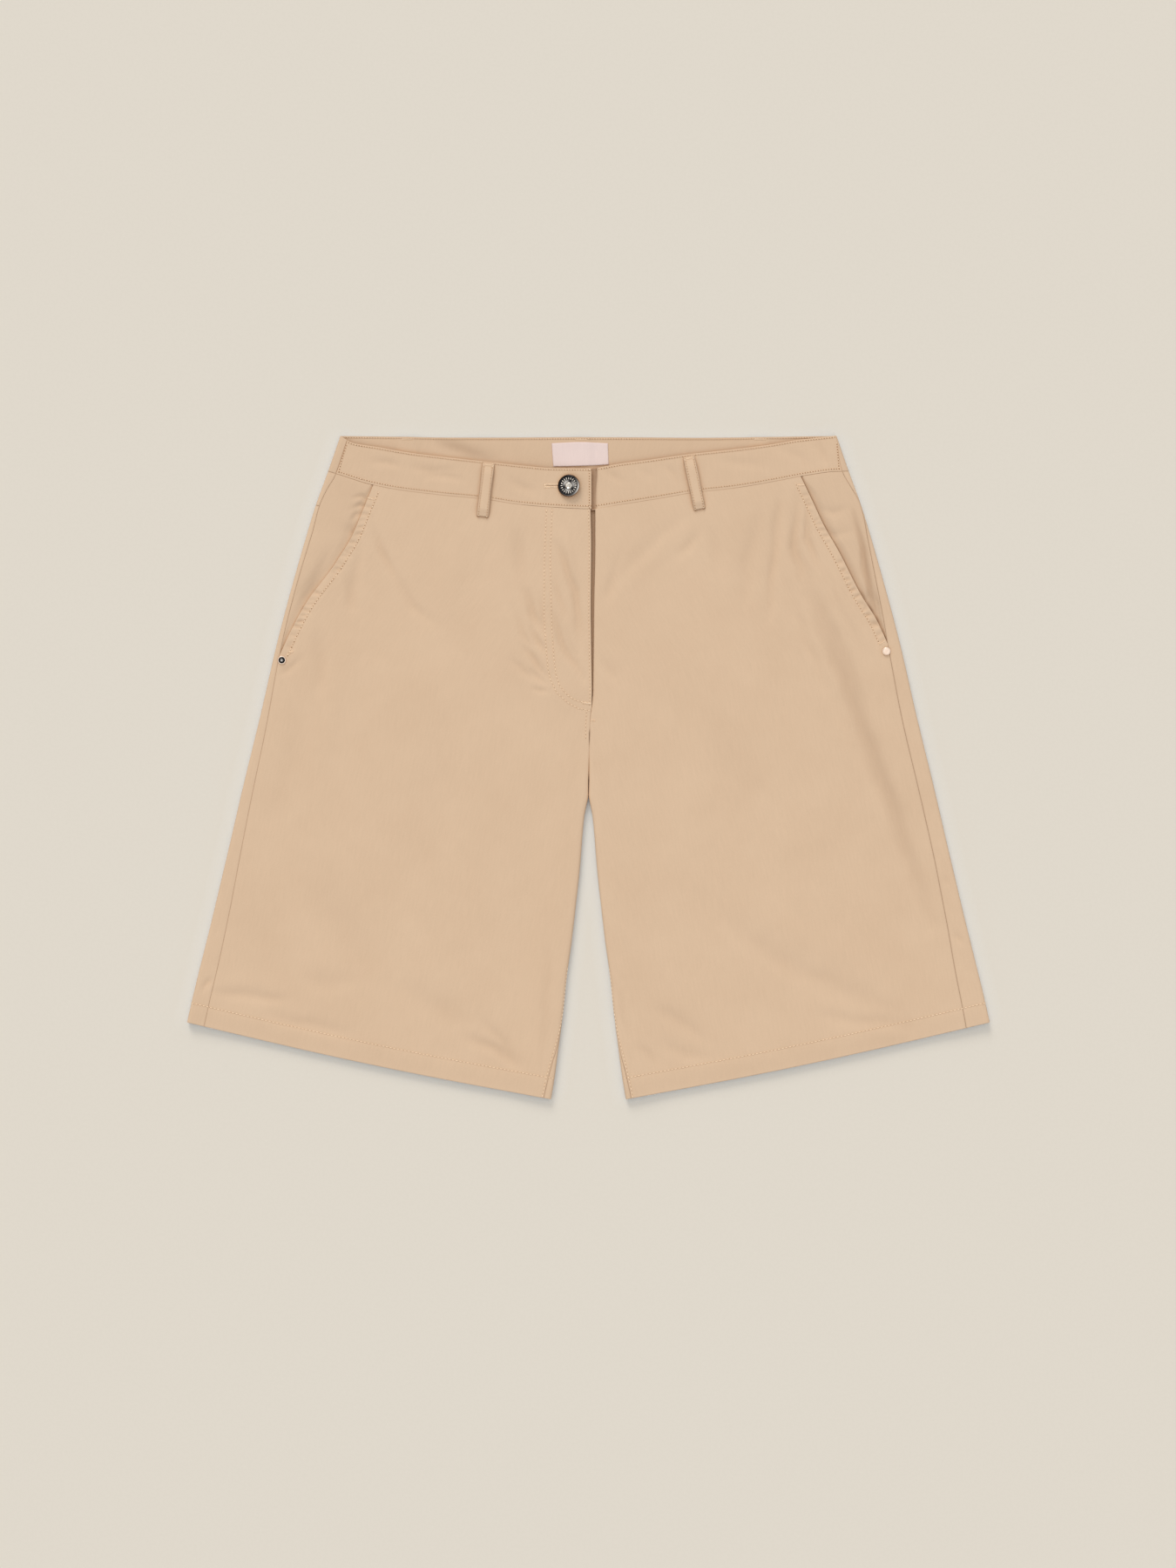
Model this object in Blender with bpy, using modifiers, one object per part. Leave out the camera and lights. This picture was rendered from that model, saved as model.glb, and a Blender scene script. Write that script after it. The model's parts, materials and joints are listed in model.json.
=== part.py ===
"""Bermuda shorts in cotton twill, laid flat on their back with the front up.

Every panel is a wall of cloth built as a bmesh grid, whose points are placed by one rule for the whole
garment, and thickened by a Solidify modifier.  The rule follows a ring of cloth round each half of the
shorts, at a station that runs from -1 (top edge of the waistband) through 0 (waist seam) to 1 (hem):

    on top      from the outer fold across the front layer to the centre line, or to the inner fold
    underneath  from the outer fold across the back layer, which lies flat on the floor

Lengths in the tables and functions are millimetres.  X runs to the wearer's left, Y up to the waist and
Z up from the floor.  Side -1 is the wearer's right half, side +1 the left half.
"""

import math

import bmesh
import bpy
from mathutils import Vector

MM = 0.001

# ---------------------------------------------------------------- driving dimensions, millimetres
CLOTH = 1.2  # one layer of twill, as a solid wall
BAND_CLOTH = 1.6  # the waistband: cloth, stiffener and facing
HEM_CLOTH = 1.8  # the leg's cloth and its turned-up hem
SHIELD_CLOTH = 1.0
LOOP_CLOTH = 0.9
LABEL_CLOTH = 0.5
SEAM = 0.4  # clear gap at a seam between two pieces
FOLD_SEAM = 0.85  # the same where the seam rides over a fold, so that the walls clear inside it
EDGE = 0.3  # width of the first strip of faces along a seam, which keeps the wall's edge square
LAID_GAP = 0.3  # clear gap between pieces that lie on each other
FOLD_R = 3.1  # outer radius of the rolled folds at the sides and inside legs

WAIST_SIDE_Y = 258.4  # where the waist seam meets the outer fold
BAND_SIDE_Y = 289.6  # the waistband's upper corner
HEM_SIDE_Y = -222.4  # where the hem meets the outer fold
BAND_FRONT_Y = 260.9  # top of the waistband at the centre front
WAIST_FRONT_Y = 225.5  # waist seam at the centre front
BAND_BACK_Y = 287.8  # top of the waistband at the centre back
WAIST_BACK_Y = 250.8  # waist seam at the centre back
CROTCH_Y = -25.0  # where the legs part
HEM_INSIDE_Y = -289.6  # where the hem meets the inner fold

HEM_DEPTH = 19.0
UPPER_ROWS = 11  # rows of faces in a back panel above the crotch
YOKE_SIDE = 29.6  # depth of the back yoke at the side and at the centre back
YOKE_CENTRE = 62.0
HEM_BOW = 3.0  # the hem hangs this much below a straight line in the middle
TOP_DIP = 2.0  # the back waistband's top edge dips this much between centre and side
FLY_END_Y = 52.0
LAP_RISE = 0.9  # the right front's lap stands this much over the left half
LAP_SINK = 0.6
SETTLE = 60.0  # width over which the front layer sinks from a fold to its general depth
CLEFT_SETTLE = 45.0
FRONT_TURN_V = 0.35  # stations at which the fronts and the backs start to roll into the cleft
BACK_TURN_V = 0.43
INSEAM_FROM_V = 0.84  # station at which the inside leg seam comes round onto the front
INSEAM_SHOWN = {-1: 6.4, 1: 4.7}  # its inset from the outline at the hem
SHIELD_TOP_Z = 2.55
SHIELD_REACH = (-36.0, 11.0)  # the fly shield, from the centre line to each side
UNDERLAP = 28.0  # how far the left waistband runs on under the right one
LOOP_WIDTH = 10.3
LOOP_RISE = 1.7  # how far a front loop stands off the band
FACING_UNDER = 15.0  # the pocket facing's width under the front
FACING_DROP = 1.75  # the facing's depth below the front at the pocket edge
BUTTON_D = 19.2
BUTTON_TILT = math.radians(8.0)
RIVET_D = 7.2

FULL_TURN = math.pi * FOLD_R / 2  # skin length of a quarter of a fold
CROTCH_V = (WAIST_FRONT_Y - CROTCH_Y) / (WAIST_FRONT_Y - HEM_INSIDE_Y)
SIDE_LENGTH = WAIST_SIDE_Y - HEM_SIDE_Y
SEAM_V = SEAM / 2 / SIDE_LENGTH  # half a seam's gap, as a station
HEM_V = 1.0 - HEM_DEPTH / SIDE_LENGTH
FLY_END_V = (WAIST_FRONT_Y - FLY_END_Y) / (WAIST_FRONT_Y - HEM_INSIDE_Y)
SIDES = {"right": -1, "left": 1}

# Outline of one half: distance of the outer fold from the centre line.  Columns: y, outer x.
OUTER = (
    (289.6, 216.5),
    (258.4, 227.3),
    (228.8, 238.0),
    (168.0, 256.0),
    (107.0, 272.2),
    (46.0, 286.2),
    (-14.0, 300.8),
    (-75.0, 315.0),
    (-136.0, 329.5),
    (-197.0, 344.6),
    (-222.4, 350.4),
)
# Inner fold of a leg.  Columns: y, distance from the centre line.
INNER = (
    (-25.0, 0.2),
    (-45.0, 3.8),
    (-90.0, 7.6),
    (-121.0, 11.0),
    (-152.0, 14.6),
    (-182.0, 18.8),
    (-212.0, 21.9),
    (-243.0, 25.8),
    (-274.0, 30.0),
    (-289.6, 32.6),
)
# The front's waist seam and the waistband's top edge.  Columns: share of the way from the centre front
# to the outer fold, seam y on the right and left half, top edge y on the right and left half.
WAIST = (
    (-0.15, 225.4, 224.6, 261.2, 260.4),
    (0.00, 225.5, 225.5, 260.9, 260.9),
    (0.13, 226.8, 229.6, 261.0, 265.2),
    (0.27, 229.6, 234.6, 263.5, 269.2),
    (0.40, 234.1, 239.6, 266.6, 273.2),
    (0.57, 237.8, 244.0, 270.6, 277.2),
    (0.73, 242.3, 250.3, 275.0, 281.6),
    (0.84, 247.2, 255.0, 279.2, 285.6),
    (0.95, 255.0, 258.2, 283.2, 288.2),
    (1.00, 258.4, 258.4, 289.6, 289.6),
)
# Where the side seam shows on the front layer.  Columns: y at the outer fold, inset from the outline on
# the right and left half.
SIDE_SEAM = (
    (289.6, 6.3, 0.6),
    (258.4, 7.2, 6.0),
    (243.0, 4.6, 3.2),
    (228.8, 3.4, 0.9),
    (205.0, 4.4, 3.0),
    (168.0, 3.9, 6.2),
    (136.0, 4.0, 8.6),
    (98.0, 4.8, 11.4),
    (20.0, 8.2, 13.6),
    (-60.0, 10.8, 13.8),
    (-130.0, 13.8, 16.2),
    (-180.0, 15.2, 19.6),
    (-222.4, 15.4, 21.2),
)
# The slanted pocket edge.  Columns: share of the way down, inset from the outline on the right, left.
POCKET = (
    (0.00, 40.0, 42.6),
    (0.25, 38.2, 38.4),
    (0.45, 31.0, 31.0),
    (0.70, 15.8, 22.6),
    (0.85, 9.6, 15.2),
    (1.00, 4.8, 10.6),
)
POCKET_END_Y = {-1: 98.0, 1: 109.4}  # y at the outer fold where the pocket meets the side seam
# Free edges of the fronts at the fly.  Columns: y, x of the right front's edge, x of the left front's.
FLY = (
    (226.0, 0.8, 5.6),
    (195.0, 1.6, 5.3),
    (140.0, 1.5, 4.6),
    (100.0, 1.9, 3.9),
    (65.0, 2.3, 3.1),
    (52.0, 2.4, 2.8),
    (44.0, 0.2, 0.7),
    (28.0, -0.6, -0.1),
    (10.0, -0.2, 0.2),
    (-25.0, -0.2, 0.2),
)
# How far the front layer sinks between the folds.  Columns: station, depth.
SAG = ((-1.0, 0.4), (0.0, 0.6), (0.15, 1.3), (0.45, 1.7), (0.75, 2.3), (0.93, 1.6), (1.0, 1.1))
# Largest soft folds of the front layer.  Columns: line of x, y points, half width, height.
FOLDS = (
    (((150, 236), (172, 180), (206, 115), (240, 45), (266, -30), (290, -110)), 15.0, 0.55),
    (((180, 232), (192, 170), (222, 108), (252, 40), (276, -35), (302, -120)), 12.0, -0.75),
    (((120, 225), (133, 170), (140, 110)), 12.0, -0.45),
    (((20, 215), (60, 222), (100, 205)), 12.0, -0.40),
    (((-42, 190), (-44, 130), (-34, 75)), 7.0, -0.50),
    (((-22, 190), (-18, 130), (-8, 80)), 8.0, 0.45),
    (((-190, 210), (-165, 165), (-140, 130)), 12.0, -0.40),
    (((-320, -200), (-270, -212), (-220, -210)), 9.0, -0.60),
    (((-110, -238), (-70, -262), (-48, -270)), 10.0, -0.50),
    (((60, -215), (85, -235), (115, -246)), 11.0, -0.50),
    (((150, -130), (210, -180), (290, -208)), 15.0, -0.50),
    (((-250, -90), (-210, -140), (-180, -180)), 20.0, -0.45),
)
RIDGE_TOP = 0.3  # no fold stands higher than this over the layer, so that the hollow stays shallow
# Belt loops on the front.  Columns: name, top x, top y, bottom x, bottom y.
FRONT_LOOPS = (
    ("loop_front_right", -87.0, 265.6, -92.4, 218.6),
    ("loop_front_left", 87.4, 271.4, 97.0, 225.0),
)
BACK_LOOPS = (("loop_back_right", -158.0), ("loop_back_centre", -6.0), ("loop_back_left", 150.0))
BACK_LOOP_V = (-0.95, 0.019)  # stations of a back loop's ends
LOOP_LIFT = LOOP_CLOTH + LAID_GAP  # the back layer rises this much over its loops
LOOP_RAMP = (6.0, 12.0)  # half widths of the rise, at its top and at its foot
LOOP_RAMP_V = (0.024, 0.038)  # stations at which the rise dies away below the waist seam
BUTTON_AT = (-17.1, 245.4)
HOLE_FAR_X = -38.8
LABEL_BOX = (-32.8, 16.6, 263.9, 283.6)  # x and y limits
RIVETS = {"right": (-267.4, 93.6), "left": (259.8, 101.4)}

COLOURS = {  # base colour, roughness, metallic
    "twill": ((0.69, 0.50, 0.34, 1.0), 0.8, 0.0),
    "label": ((0.82, 0.68, 0.65, 1.0), 0.7, 0.0),
    "gunmetal": ((0.10, 0.10, 0.11, 1.0), 0.25, 1.0),
    "gilt": ((0.80, 0.62, 0.42, 1.0), 0.3, 1.0),
}


# ---------------------------------------------------------------- reading the tables
def step(t):
    t = min(max(t, 0.0), 1.0)
    return t * t * (3.0 - 2.0 * t)


def mix(a, b, t):
    return a + (b - a) * t


def look_up(table, key, column=1):
    """The column's value at key, on a smooth curve through the rows that never overshoots them."""
    rows = sorted(table)
    if key <= rows[0][0]:
        return rows[0][column]
    if key >= rows[-1][0]:
        return rows[-1][column]
    i = max(n for n in range(len(rows) - 1) if rows[n][0] <= key)
    chords = [
        (rows[n + 1][column] - rows[n][column]) / (rows[n + 1][0] - rows[n][0])
        for n in range(len(rows) - 1)
    ]

    def slope(n):
        if n in (0, len(rows) - 1):
            return chords[min(n, len(chords) - 1)]
        before, after = chords[n - 1], chords[n]
        return 0.0 if before * after <= 0.0 else 2.0 * before * after / (before + after)

    width = rows[i + 1][0] - rows[i][0]
    t = (key - rows[i][0]) / width
    lift = rows[i + 1][column] - rows[i][column]
    ease = (t - 2 * t**2 + t**3) * width * slope(i) + (t**3 - t**2) * width * slope(i + 1)
    return rows[i][column] + lift * step(t) + ease


def to_polyline(x, y, line):
    """Distance of a point from a line of points, and how far along the line it lies, from 0 to 1."""
    best, along = 1e9, 0.0
    for n in range(len(line) - 1):
        (x0, y0), (x1, y1) = line[n], line[n + 1]
        dx, dy = x1 - x0, y1 - y0
        t = min(max(((x - x0) * dx + (y - y0) * dy) / (dx * dx + dy * dy), 0.0), 1.0)
        away = math.hypot(x - x0 - t * dx, y - y0 - t * dy)
        if away < best:
            best, along = away, (n + t) / (len(line) - 1)
    return best, along


# ---------------------------------------------------------------- the ring of cloth
def side_column(side):
    return 1 if side < 0 else 2


def outer_y(v):
    return mix(WAIST_SIDE_Y, BAND_SIDE_Y, -v) if v < 0 else mix(WAIST_SIDE_Y, HEM_SIDE_Y, v)


def front_centre_y(v):
    return mix(WAIST_FRONT_Y, BAND_FRONT_Y, -v) if v < 0 else mix(WAIST_FRONT_Y, HEM_INSIDE_Y, v)


def back_centre_y(v):
    if v < 0:
        return mix(WAIST_BACK_Y, BAND_BACK_Y, -v)
    if v < CROTCH_V:
        return mix(WAIST_BACK_Y, CROTCH_Y, v / CROTCH_V)
    return front_centre_y(v)


def section(v, centre_y):
    """Outer point, inner point and width of the line across one half at a station."""
    y0, y1 = outer_y(v), centre_y(v)
    x0 = look_up(OUTER, y0)
    x1 = look_up(INNER, y1) if v >= CROTCH_V else 0.0
    return (x0, y0), (x1, y1), math.hypot(x0 - x1, y0 - y1)


def hem_bow(v, t):
    """How far a section of the lower leg hangs below its straight line, t of the way across."""
    return HEM_BOW * math.sin(math.pi * min(max(t, 0.0), 1.0)) * step((v - 0.5) / 0.5)


def front_point(side, v, a):
    """X and Y of the front layer, a along the section from the outer fold."""
    (x0, y0), (x1, y1), width = section(v, front_centre_y)
    t = a / width
    x, chord = mix(x0, x1, t), mix(y0, y1, t)
    share = 1.0 - t
    seam = look_up(WAIST, share, side_column(side))
    if v <= 0:
        return side * x, mix(seam, look_up(WAIST, share, side_column(side) + 2), -v)
    bow = (seam - mix(WAIST_FRONT_Y, WAIST_SIDE_Y, share)) * (1.0 - step(v / 0.3))
    return side * x, chord + bow - hem_bow(v, t)


def back_point(side, v, a):
    """X and Y of the back layer, a along the section from the outer fold."""
    (x0, y0), (x1, y1), width = section(v, back_centre_y)
    t = a / width
    dip = TOP_DIP * math.sin(math.pi * min(max(t, 0.0), 1.0)) ** 2 * step(1.0 - abs(v + 1.0))
    return side * mix(x0, x1, t), mix(y0, y1, t) - dip - hem_bow(v, t)


def front_turn(v):
    """How far the fronts roll down into the cleft between the legs, from 0 to 1."""
    return step((v - FRONT_TURN_V) / (CROTCH_V - FRONT_TURN_V))


def back_turn(v):
    return step((v - BACK_TURN_V) / (CROTCH_V - BACK_TURN_V))


def seam_arc(inset):
    """Skin length from the outermost point of a fold to where an inset shows from above."""
    if inset < FOLD_R:
        return FOLD_R * math.acos(1.0 - inset / FOLD_R)
    return FULL_TURN + inset - FOLD_R


def half_gap(arc):
    """Half the gap at a seam, wider where the seam rides over a fold."""
    return mix(FOLD_SEAM, SEAM, step((arc - 3.0) / 4.0)) / 2


def side_seam(side, v):
    return seam_arc(look_up(SIDE_SEAM, outer_y(v), side_column(side)))


def front_side(side, v):
    """Skin length at which the pieces in front of the side seam start."""
    arc = side_seam(side, v)
    return arc + half_gap(arc)


def back_side(side, v):
    """Skin length, up over the fold, at which the pieces behind the side seam end."""
    arc = side_seam(side, v)
    return arc - half_gap(arc)


def inseam(side, v):
    """The inside leg seam, in skin length past the outermost point of the inner fold."""
    return seam_arc(INSEAM_SHOWN[side]) * step((v - INSEAM_FROM_V) / (1.0 - INSEAM_FROM_V))


def front_edge(side, v):
    """Distance from the centre line at which a front ends above the crotch."""
    y = front_centre_y(v)
    return -look_up(FLY, y, 1) if side < 0 else look_up(FLY, y, 2)


def front_end(side, v):
    """Skin left between the front's inner edge and the inner fold's outermost point, and its shift."""
    if v >= CROTCH_V:
        arc = inseam(side, v)
        return arc + half_gap(arc), 0.0
    end = FULL_TURN * (1.0 - front_turn(v)) + FOLD_SEAM / 2
    return end, FOLD_R * (1.0 - math.cos(end / FOLD_R)) - front_edge(side, v)


def back_end(side, v):
    if v >= CROTCH_V:
        arc = inseam(side, v)
        return half_gap(arc) - arc, 0.0
    end = FULL_TURN * (1.0 - back_turn(v)) + FOLD_SEAM / 2
    return end, FOLD_R * (1.0 - math.cos(end / FOLD_R)) - SEAM / 2


def fold_relief(x, y):
    total = 0.0
    for line, half_width, height in FOLDS:
        away, along = to_polyline(x, y, line)
        total += height * math.exp(-((away / half_width) ** 2)) * math.sin(math.pi * mix(0.08, 0.92, along))
    return total


def fly_relief(side, v, x):
    """The lap at the centre front: the right side raised over the left.  x is 0 at the centre line."""
    if v < 0 and side > 0:
        return -LAP_RISE * (1.0 - step((x - 2.0) / 30.0))
    if v < 0:
        return 1.1 * LAP_RISE * (1.0 - step((x - 26.0) / 34.0))
    closing = 1.0 - step((v - FLY_END_V + 0.03) / 0.05)
    if side < 0:
        return LAP_RISE * closing * (1.0 - step((x - 30.0) / 26.0))
    return -LAP_SINK * closing * (1.0 - step((x - 6.0) / 26.0))


def front_height(side, v, a, inside):
    """Height of the front layer's outer skin between its folds."""
    x, y = front_point(side, v, a)
    inner = 1.0 - front_turn(v) * (1.0 - step((inside - FOLD_R) / CLEFT_SETTLE))
    outer = step((a - FOLD_R) / SETTLE)
    calm = step((a - FOLD_R) / 12.0) * inner
    relief = fold_relief(x, y) * calm if v > 0.0 else 0.0
    lap = fly_relief(side, v, side * x)
    return 2.0 * FOLD_R - look_up(SAG, v) * outer * inner + min(relief, RIDGE_TOP) + lap


def on_top(side, v, p):
    """The outer skin of the front layer, p along it from the outer fold's outermost point."""
    width = section(v, front_centre_y)[2]
    shift = front_end(side, v)[1]
    total = width + (math.pi - 2.0) * FOLD_R + shift
    left = total - p
    if p < FULL_TURN:
        a = FOLD_R * (1.0 - math.cos(p / FOLD_R))
        return Vector((*front_point(side, v, a), FOLD_R + FOLD_R * math.sin(p / FOLD_R)))
    a = FOLD_R + p - FULL_TURN
    drop = 0.0
    if left < FULL_TURN:
        a = width - FOLD_R * (1.0 - math.cos(left / FOLD_R)) + shift
        drop = FOLD_R * (1.0 - math.sin(left / FOLD_R))
    inside = max(width - a, 0.0) if drop == 0.0 else FOLD_R
    return Vector((*front_point(side, v, a), front_height(side, v, a, inside) - drop))


def top_span(side, v):
    """Skin length at which the front layer's inner edge lies."""
    end, shift = front_end(side, v)
    return section(v, front_centre_y)[2] + (math.pi - 2.0) * FOLD_R + shift - end


def fade(value, start, end):
    """1 up to start, falling in a straight line to 0 at end."""
    return 1.0 - min(max((value - start) / (end - start), 0.0), 1.0)


def loop_lift(x, v):
    """Rise of the back layer over the belt loops that lie under it."""
    across = max(fade(abs(x - centre), *LOOP_RAMP) for _, centre in BACK_LOOPS)
    return LOOP_LIFT * across * fade(v, *LOOP_RAMP_V)


def underneath(side, v, p):
    """The outer skin of the back pieces, p along it from the outer fold's outermost point.

    A negative p runs up over the fold onto the front layer, and a p past the inner fold does the same.
    """
    if p < 0:
        return on_top(side, v, -p)
    width = section(v, back_centre_y)[2]
    shift = back_end(side, v)[1]
    total = width + (math.pi - 2.0) * FOLD_R + shift
    left = total - p
    if left < 0:
        front_total = section(v, front_centre_y)[2] + (math.pi - 2.0) * FOLD_R
        return on_top(side, v, front_total + left)
    if p < FULL_TURN:
        a = FOLD_R * (1.0 - math.cos(p / FOLD_R))
        return Vector((*back_point(side, v, a), FOLD_R - FOLD_R * math.sin(p / FOLD_R)))
    if left < FULL_TURN:
        a = width - FOLD_R * (1.0 - math.cos(left / FOLD_R)) + shift
        return Vector((*back_point(side, v, a), FOLD_R - FOLD_R * math.sin(left / FOLD_R)))
    x, y = back_point(side, v, FOLD_R + p - FULL_TURN)
    return Vector((x, y, loop_lift(x, v)))


def across_back(v, x):
    """Skin length along the back layer of a half at a distance x from the centre line."""
    (x0, _), _, width = section(v, back_centre_y)
    return FULL_TURN - FOLD_R + width * (1.0 - x / x0)


def loop_stops(side):
    """Distances from the centre line at which the rise over a belt loop starts and ends."""
    reaches = (-LOOP_RAMP[1], -LOOP_RAMP[0], LOOP_RAMP[0], LOOP_RAMP[1])
    stops = [side * (centre + reach) for _, centre in BACK_LOOPS for reach in reaches]
    return sorted((x for x in stops if x > 3.0), reverse=True)


def bottom_span(side, v):
    end, shift = back_end(side, v)
    return section(v, back_centre_y)[2] + (math.pi - 2.0) * FOLD_R + shift - end


# ---------------------------------------------------------------- making objects
def material(name):
    found = bpy.data.materials.get(name) or bpy.data.materials.new(name)
    colour, roughness, metallic = COLOURS[name]
    found.use_nodes = True
    shader = found.node_tree.nodes["Principled BSDF"]
    shader.inputs["Base Color"].default_value = colour
    shader.inputs["Roughness"].default_value = roughness
    shader.inputs["Metallic"].default_value = metallic
    return found


def new_object(name, mesh, finish, collection):
    obj = bpy.data.objects.new(name, mesh)
    mesh.materials.append(material(finish))
    collection.objects.link(obj)
    return obj


def cloth(name, columns, rows, place, wall, collection, finish="twill", thick_rows=(), thick=None, up=True):
    """A wall of cloth on a grid.  place(i, j) gives the outer skin's point for column i of row j."""
    bm = bmesh.new()
    bmesh.ops.create_grid(bm, x_segments=columns, y_segments=rows, size=0.5)
    group_rows = {}
    for vert in bm.verts:
        i, j = round((vert.co.x + 0.5) * columns), round((vert.co.y + 0.5) * rows)
        vert.co = place(i, j) * MM
        group_rows[vert.index] = j
    bm.normal_update()
    facing_up = sum(face.normal.z * face.calc_area() for face in bm.faces) > 0.0
    if facing_up != up:
        bmesh.ops.reverse_faces(bm, faces=bm.faces[:])
    mesh = bpy.data.meshes.new(name)
    bm.to_mesh(mesh)
    bm.free()
    obj = new_object(name, mesh, finish, collection)
    mesh.shade_smooth()
    solidify = obj.modifiers.new("wall", "SOLIDIFY")
    solidify.offset = -1.0
    solidify.thickness = wall * MM
    if thick_rows:
        group = obj.vertex_groups.new(name="hem")
        group.add([n for n, j in group_rows.items() if j in thick_rows], 1.0, "REPLACE")
        solidify.vertex_group = "hem"
        solidify.thickness = thick * MM
        solidify.thickness_vertex_group = wall / thick
    return obj


def spread(start, end, count, power=1.0):
    """count + 1 numbers from start to end, closer together near the start when power is over 1."""
    return [mix(start, end, (n / count) ** power) for n in range(count + 1)]


def seam_strips(edge, inward, reach, count):
    """Skin lengths of the columns near an edge, in order along the skin, with a narrow strip at it."""
    run = [edge] + [edge + inward * d for d in spread(EDGE, reach, count)]
    return run if inward > 0 else run[::-1]


def joined(*runs):
    """Runs of numbers set end to end, each run's first number being the one before's last."""
    out = list(runs[0])
    for run in runs[1:]:
        out += run[1:]
    return out


# ---------------------------------------------------------------- panels
def pocket_v(side):
    return (WAIST_SIDE_Y - POCKET_END_Y[side]) / (WAIST_SIDE_Y - HEM_SIDE_Y)


def pocket_edge(side, v):
    return seam_arc(look_up(POCKET, v / pocket_v(side), side_column(side)))


def leg_rows(side):
    """Stations of a leg panel's rows: close together at the cleft between the legs and at the hem."""
    return joined(
        spread(SEAM_V, pocket_v(side), 6),
        spread(pocket_v(side), FLY_END_V, 1),
        spread(FLY_END_V, CROTCH_V, 4),
        spread(CROTCH_V, 0.82, 4),
        spread(0.82, HEM_V, 4),
        spread(HEM_V, 1.0, 1),
    )


def front_panel(name, side, collection):
    rows = leg_rows(side)
    columns = []
    for v in rows:
        start = pocket_edge(side, v) + SEAM / 2 if v < pocket_v(side) else front_side(side, v)
        end = top_span(side, v)
        middle = spread(start + 6.0, end - 15.0, 9)
        columns.append([start, start + EDGE] + middle + seam_strips(end, -1, 6.0, 4))
    return cloth(
        name,
        len(columns[0]) - 1,
        len(rows) - 1,
        lambda i, j: on_top(side, rows[j], columns[j][i]),
        CLOTH,
        collection,
        thick_rows=(len(rows) - 2, len(rows) - 1),
        thick=HEM_CLOTH,
    )


def yoke_v(p):
    """Station of the yoke seam, p along the back piece's skin."""
    across = min(max(p / look_up(OUTER, WAIST_SIDE_Y), 0.0), 1.0)
    at_side = YOKE_SIDE / SIDE_LENGTH
    at_centre = YOKE_CENTRE * CROTCH_V / (WAIST_BACK_Y - CROTCH_Y)
    return mix(at_side, at_centre, across)


def yoke_rows(p):
    """Stations of the yoke's rows at a skin length, from the waist seam to the yoke seam."""
    return [SEAM_V, *LOOP_RAMP_V, yoke_v(p) - SEAM_V]


def yoke(name, side, collection):
    xs = sorted(loop_stops(side) + [195.0, 120.0, 75.0, 35.0], reverse=True)
    count = len(yoke_rows(0.0))

    def columns(v):
        return joined(
            seam_strips(-back_side(side, v), 1, back_side(side, v), 4),
            spread(0.0, FULL_TURN, 3),
            [FULL_TURN, FULL_TURN + 12.0] + [across_back(v, x) for x in xs] + [bottom_span(side, v)],
        )

    def place(i, j):
        v = SEAM_V
        for _ in range(4):
            p = columns(v)[i]
            v = yoke_rows(p)[j]
        return underneath(side, v, p)

    return cloth(name, len(columns(0.0)) - 1, count - 1, place, CLOTH, collection, up=False)


def back_upper_rows(p):
    """Stations of the back panel's rows above the crotch, starting at the yoke seam."""
    return spread(yoke_v(p) + 1.2 * SEAM_V, CROTCH_V, UPPER_ROWS)[:-1]


def back_panel(name, side, collection):
    lower = [v for v in leg_rows(side) if v > CROTCH_V - 1e-9]

    def columns(v):
        shown, end = back_side(side, v), bottom_span(side, v)
        turned = FULL_TURN + (inseam(side, v) if v >= CROTCH_V else 0.0)
        return joined(
            seam_strips(-shown, 1, shown, 4),
            spread(0.0, FULL_TURN, 3),
            spread(FULL_TURN, end - turned - 10.0, 7) + seam_strips(end, -1, turned, 6),
        )

    def place(i, j):
        if j >= UPPER_ROWS:
            v = lower[j - UPPER_ROWS]
            return underneath(side, v, columns(v)[i])
        v = CROTCH_V * j / UPPER_ROWS
        for _ in range(4):
            p = columns(v)[i]
            v = back_upper_rows(p)[j]
        return underneath(side, v, p)

    last = UPPER_ROWS + len(lower) - 1
    return cloth(
        name,
        len(columns(0.5)) - 1,
        last,
        place,
        CLOTH,
        collection,
        thick_rows=(last - 1, last),
        thick=HEM_CLOTH,
        up=False,
    )


def pocket_facing(name, side, collection):
    """The hip piece behind the slanted pocket edge, which the front lies over."""
    foot = pocket_v(side)
    down = yoke_rows(0.0) + [v for v in back_upper_rows(0.0) if v < foot * 1.02]
    rows = [2.0 * SEAM_V] + down[1:] + [foot * 1.08]
    under = (FACING_UNDER, 5.0, 0.0)

    def place(i, j):
        v = rows[j]
        edge, seam = pocket_edge(side, min(v, foot)), front_side(side, v) + SEAM / 2
        open_width = max(edge - seam, 1.2)
        if i < len(under):
            p = seam + open_width + under[i]
        else:
            p = seam + (0.9, 0.6, 0.35, 0.1, 0.0)[i - len(under)] * open_width
        drop = FACING_DROP * (1.0 - 0.9 * step((edge - p - 1.5) / 9.0))
        return on_top(side, v, p) - Vector((0.0, 0.0, drop))

    return cloth(name, len(under) + 4, len(rows) - 1, place, SHIELD_CLOTH, collection)


# ---------------------------------------------------------------- waistband
def band_rows():
    gap = 0.8 * SEAM / (BAND_SIDE_Y - WAIST_SIDE_Y)
    return spread(-1.0, -gap, 3)


def band_front(name, side, collection):
    """Half of the front waistband; the right one laps over the left one's underlap."""
    rows = band_rows()
    reach = 2.2 if side < 0 else UNDERLAP
    inner = 5 if side < 0 else 7

    def place(i, j):
        v = rows[j]
        width = section(v, front_centre_y)[2]
        start = front_side(side, v)
        end = FULL_TURN - FOLD_R + width + reach
        near = end - reach - 34.0
        positions = seam_strips(start, 1, 5.5, 3) + joined(spread(15.0, near, 8), spread(near, end, inner))
        return on_top_flat(side, v, positions[i])

    return cloth(name, 4 + 9 + inner, len(rows) - 1, place, BAND_CLOTH, collection)


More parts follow.
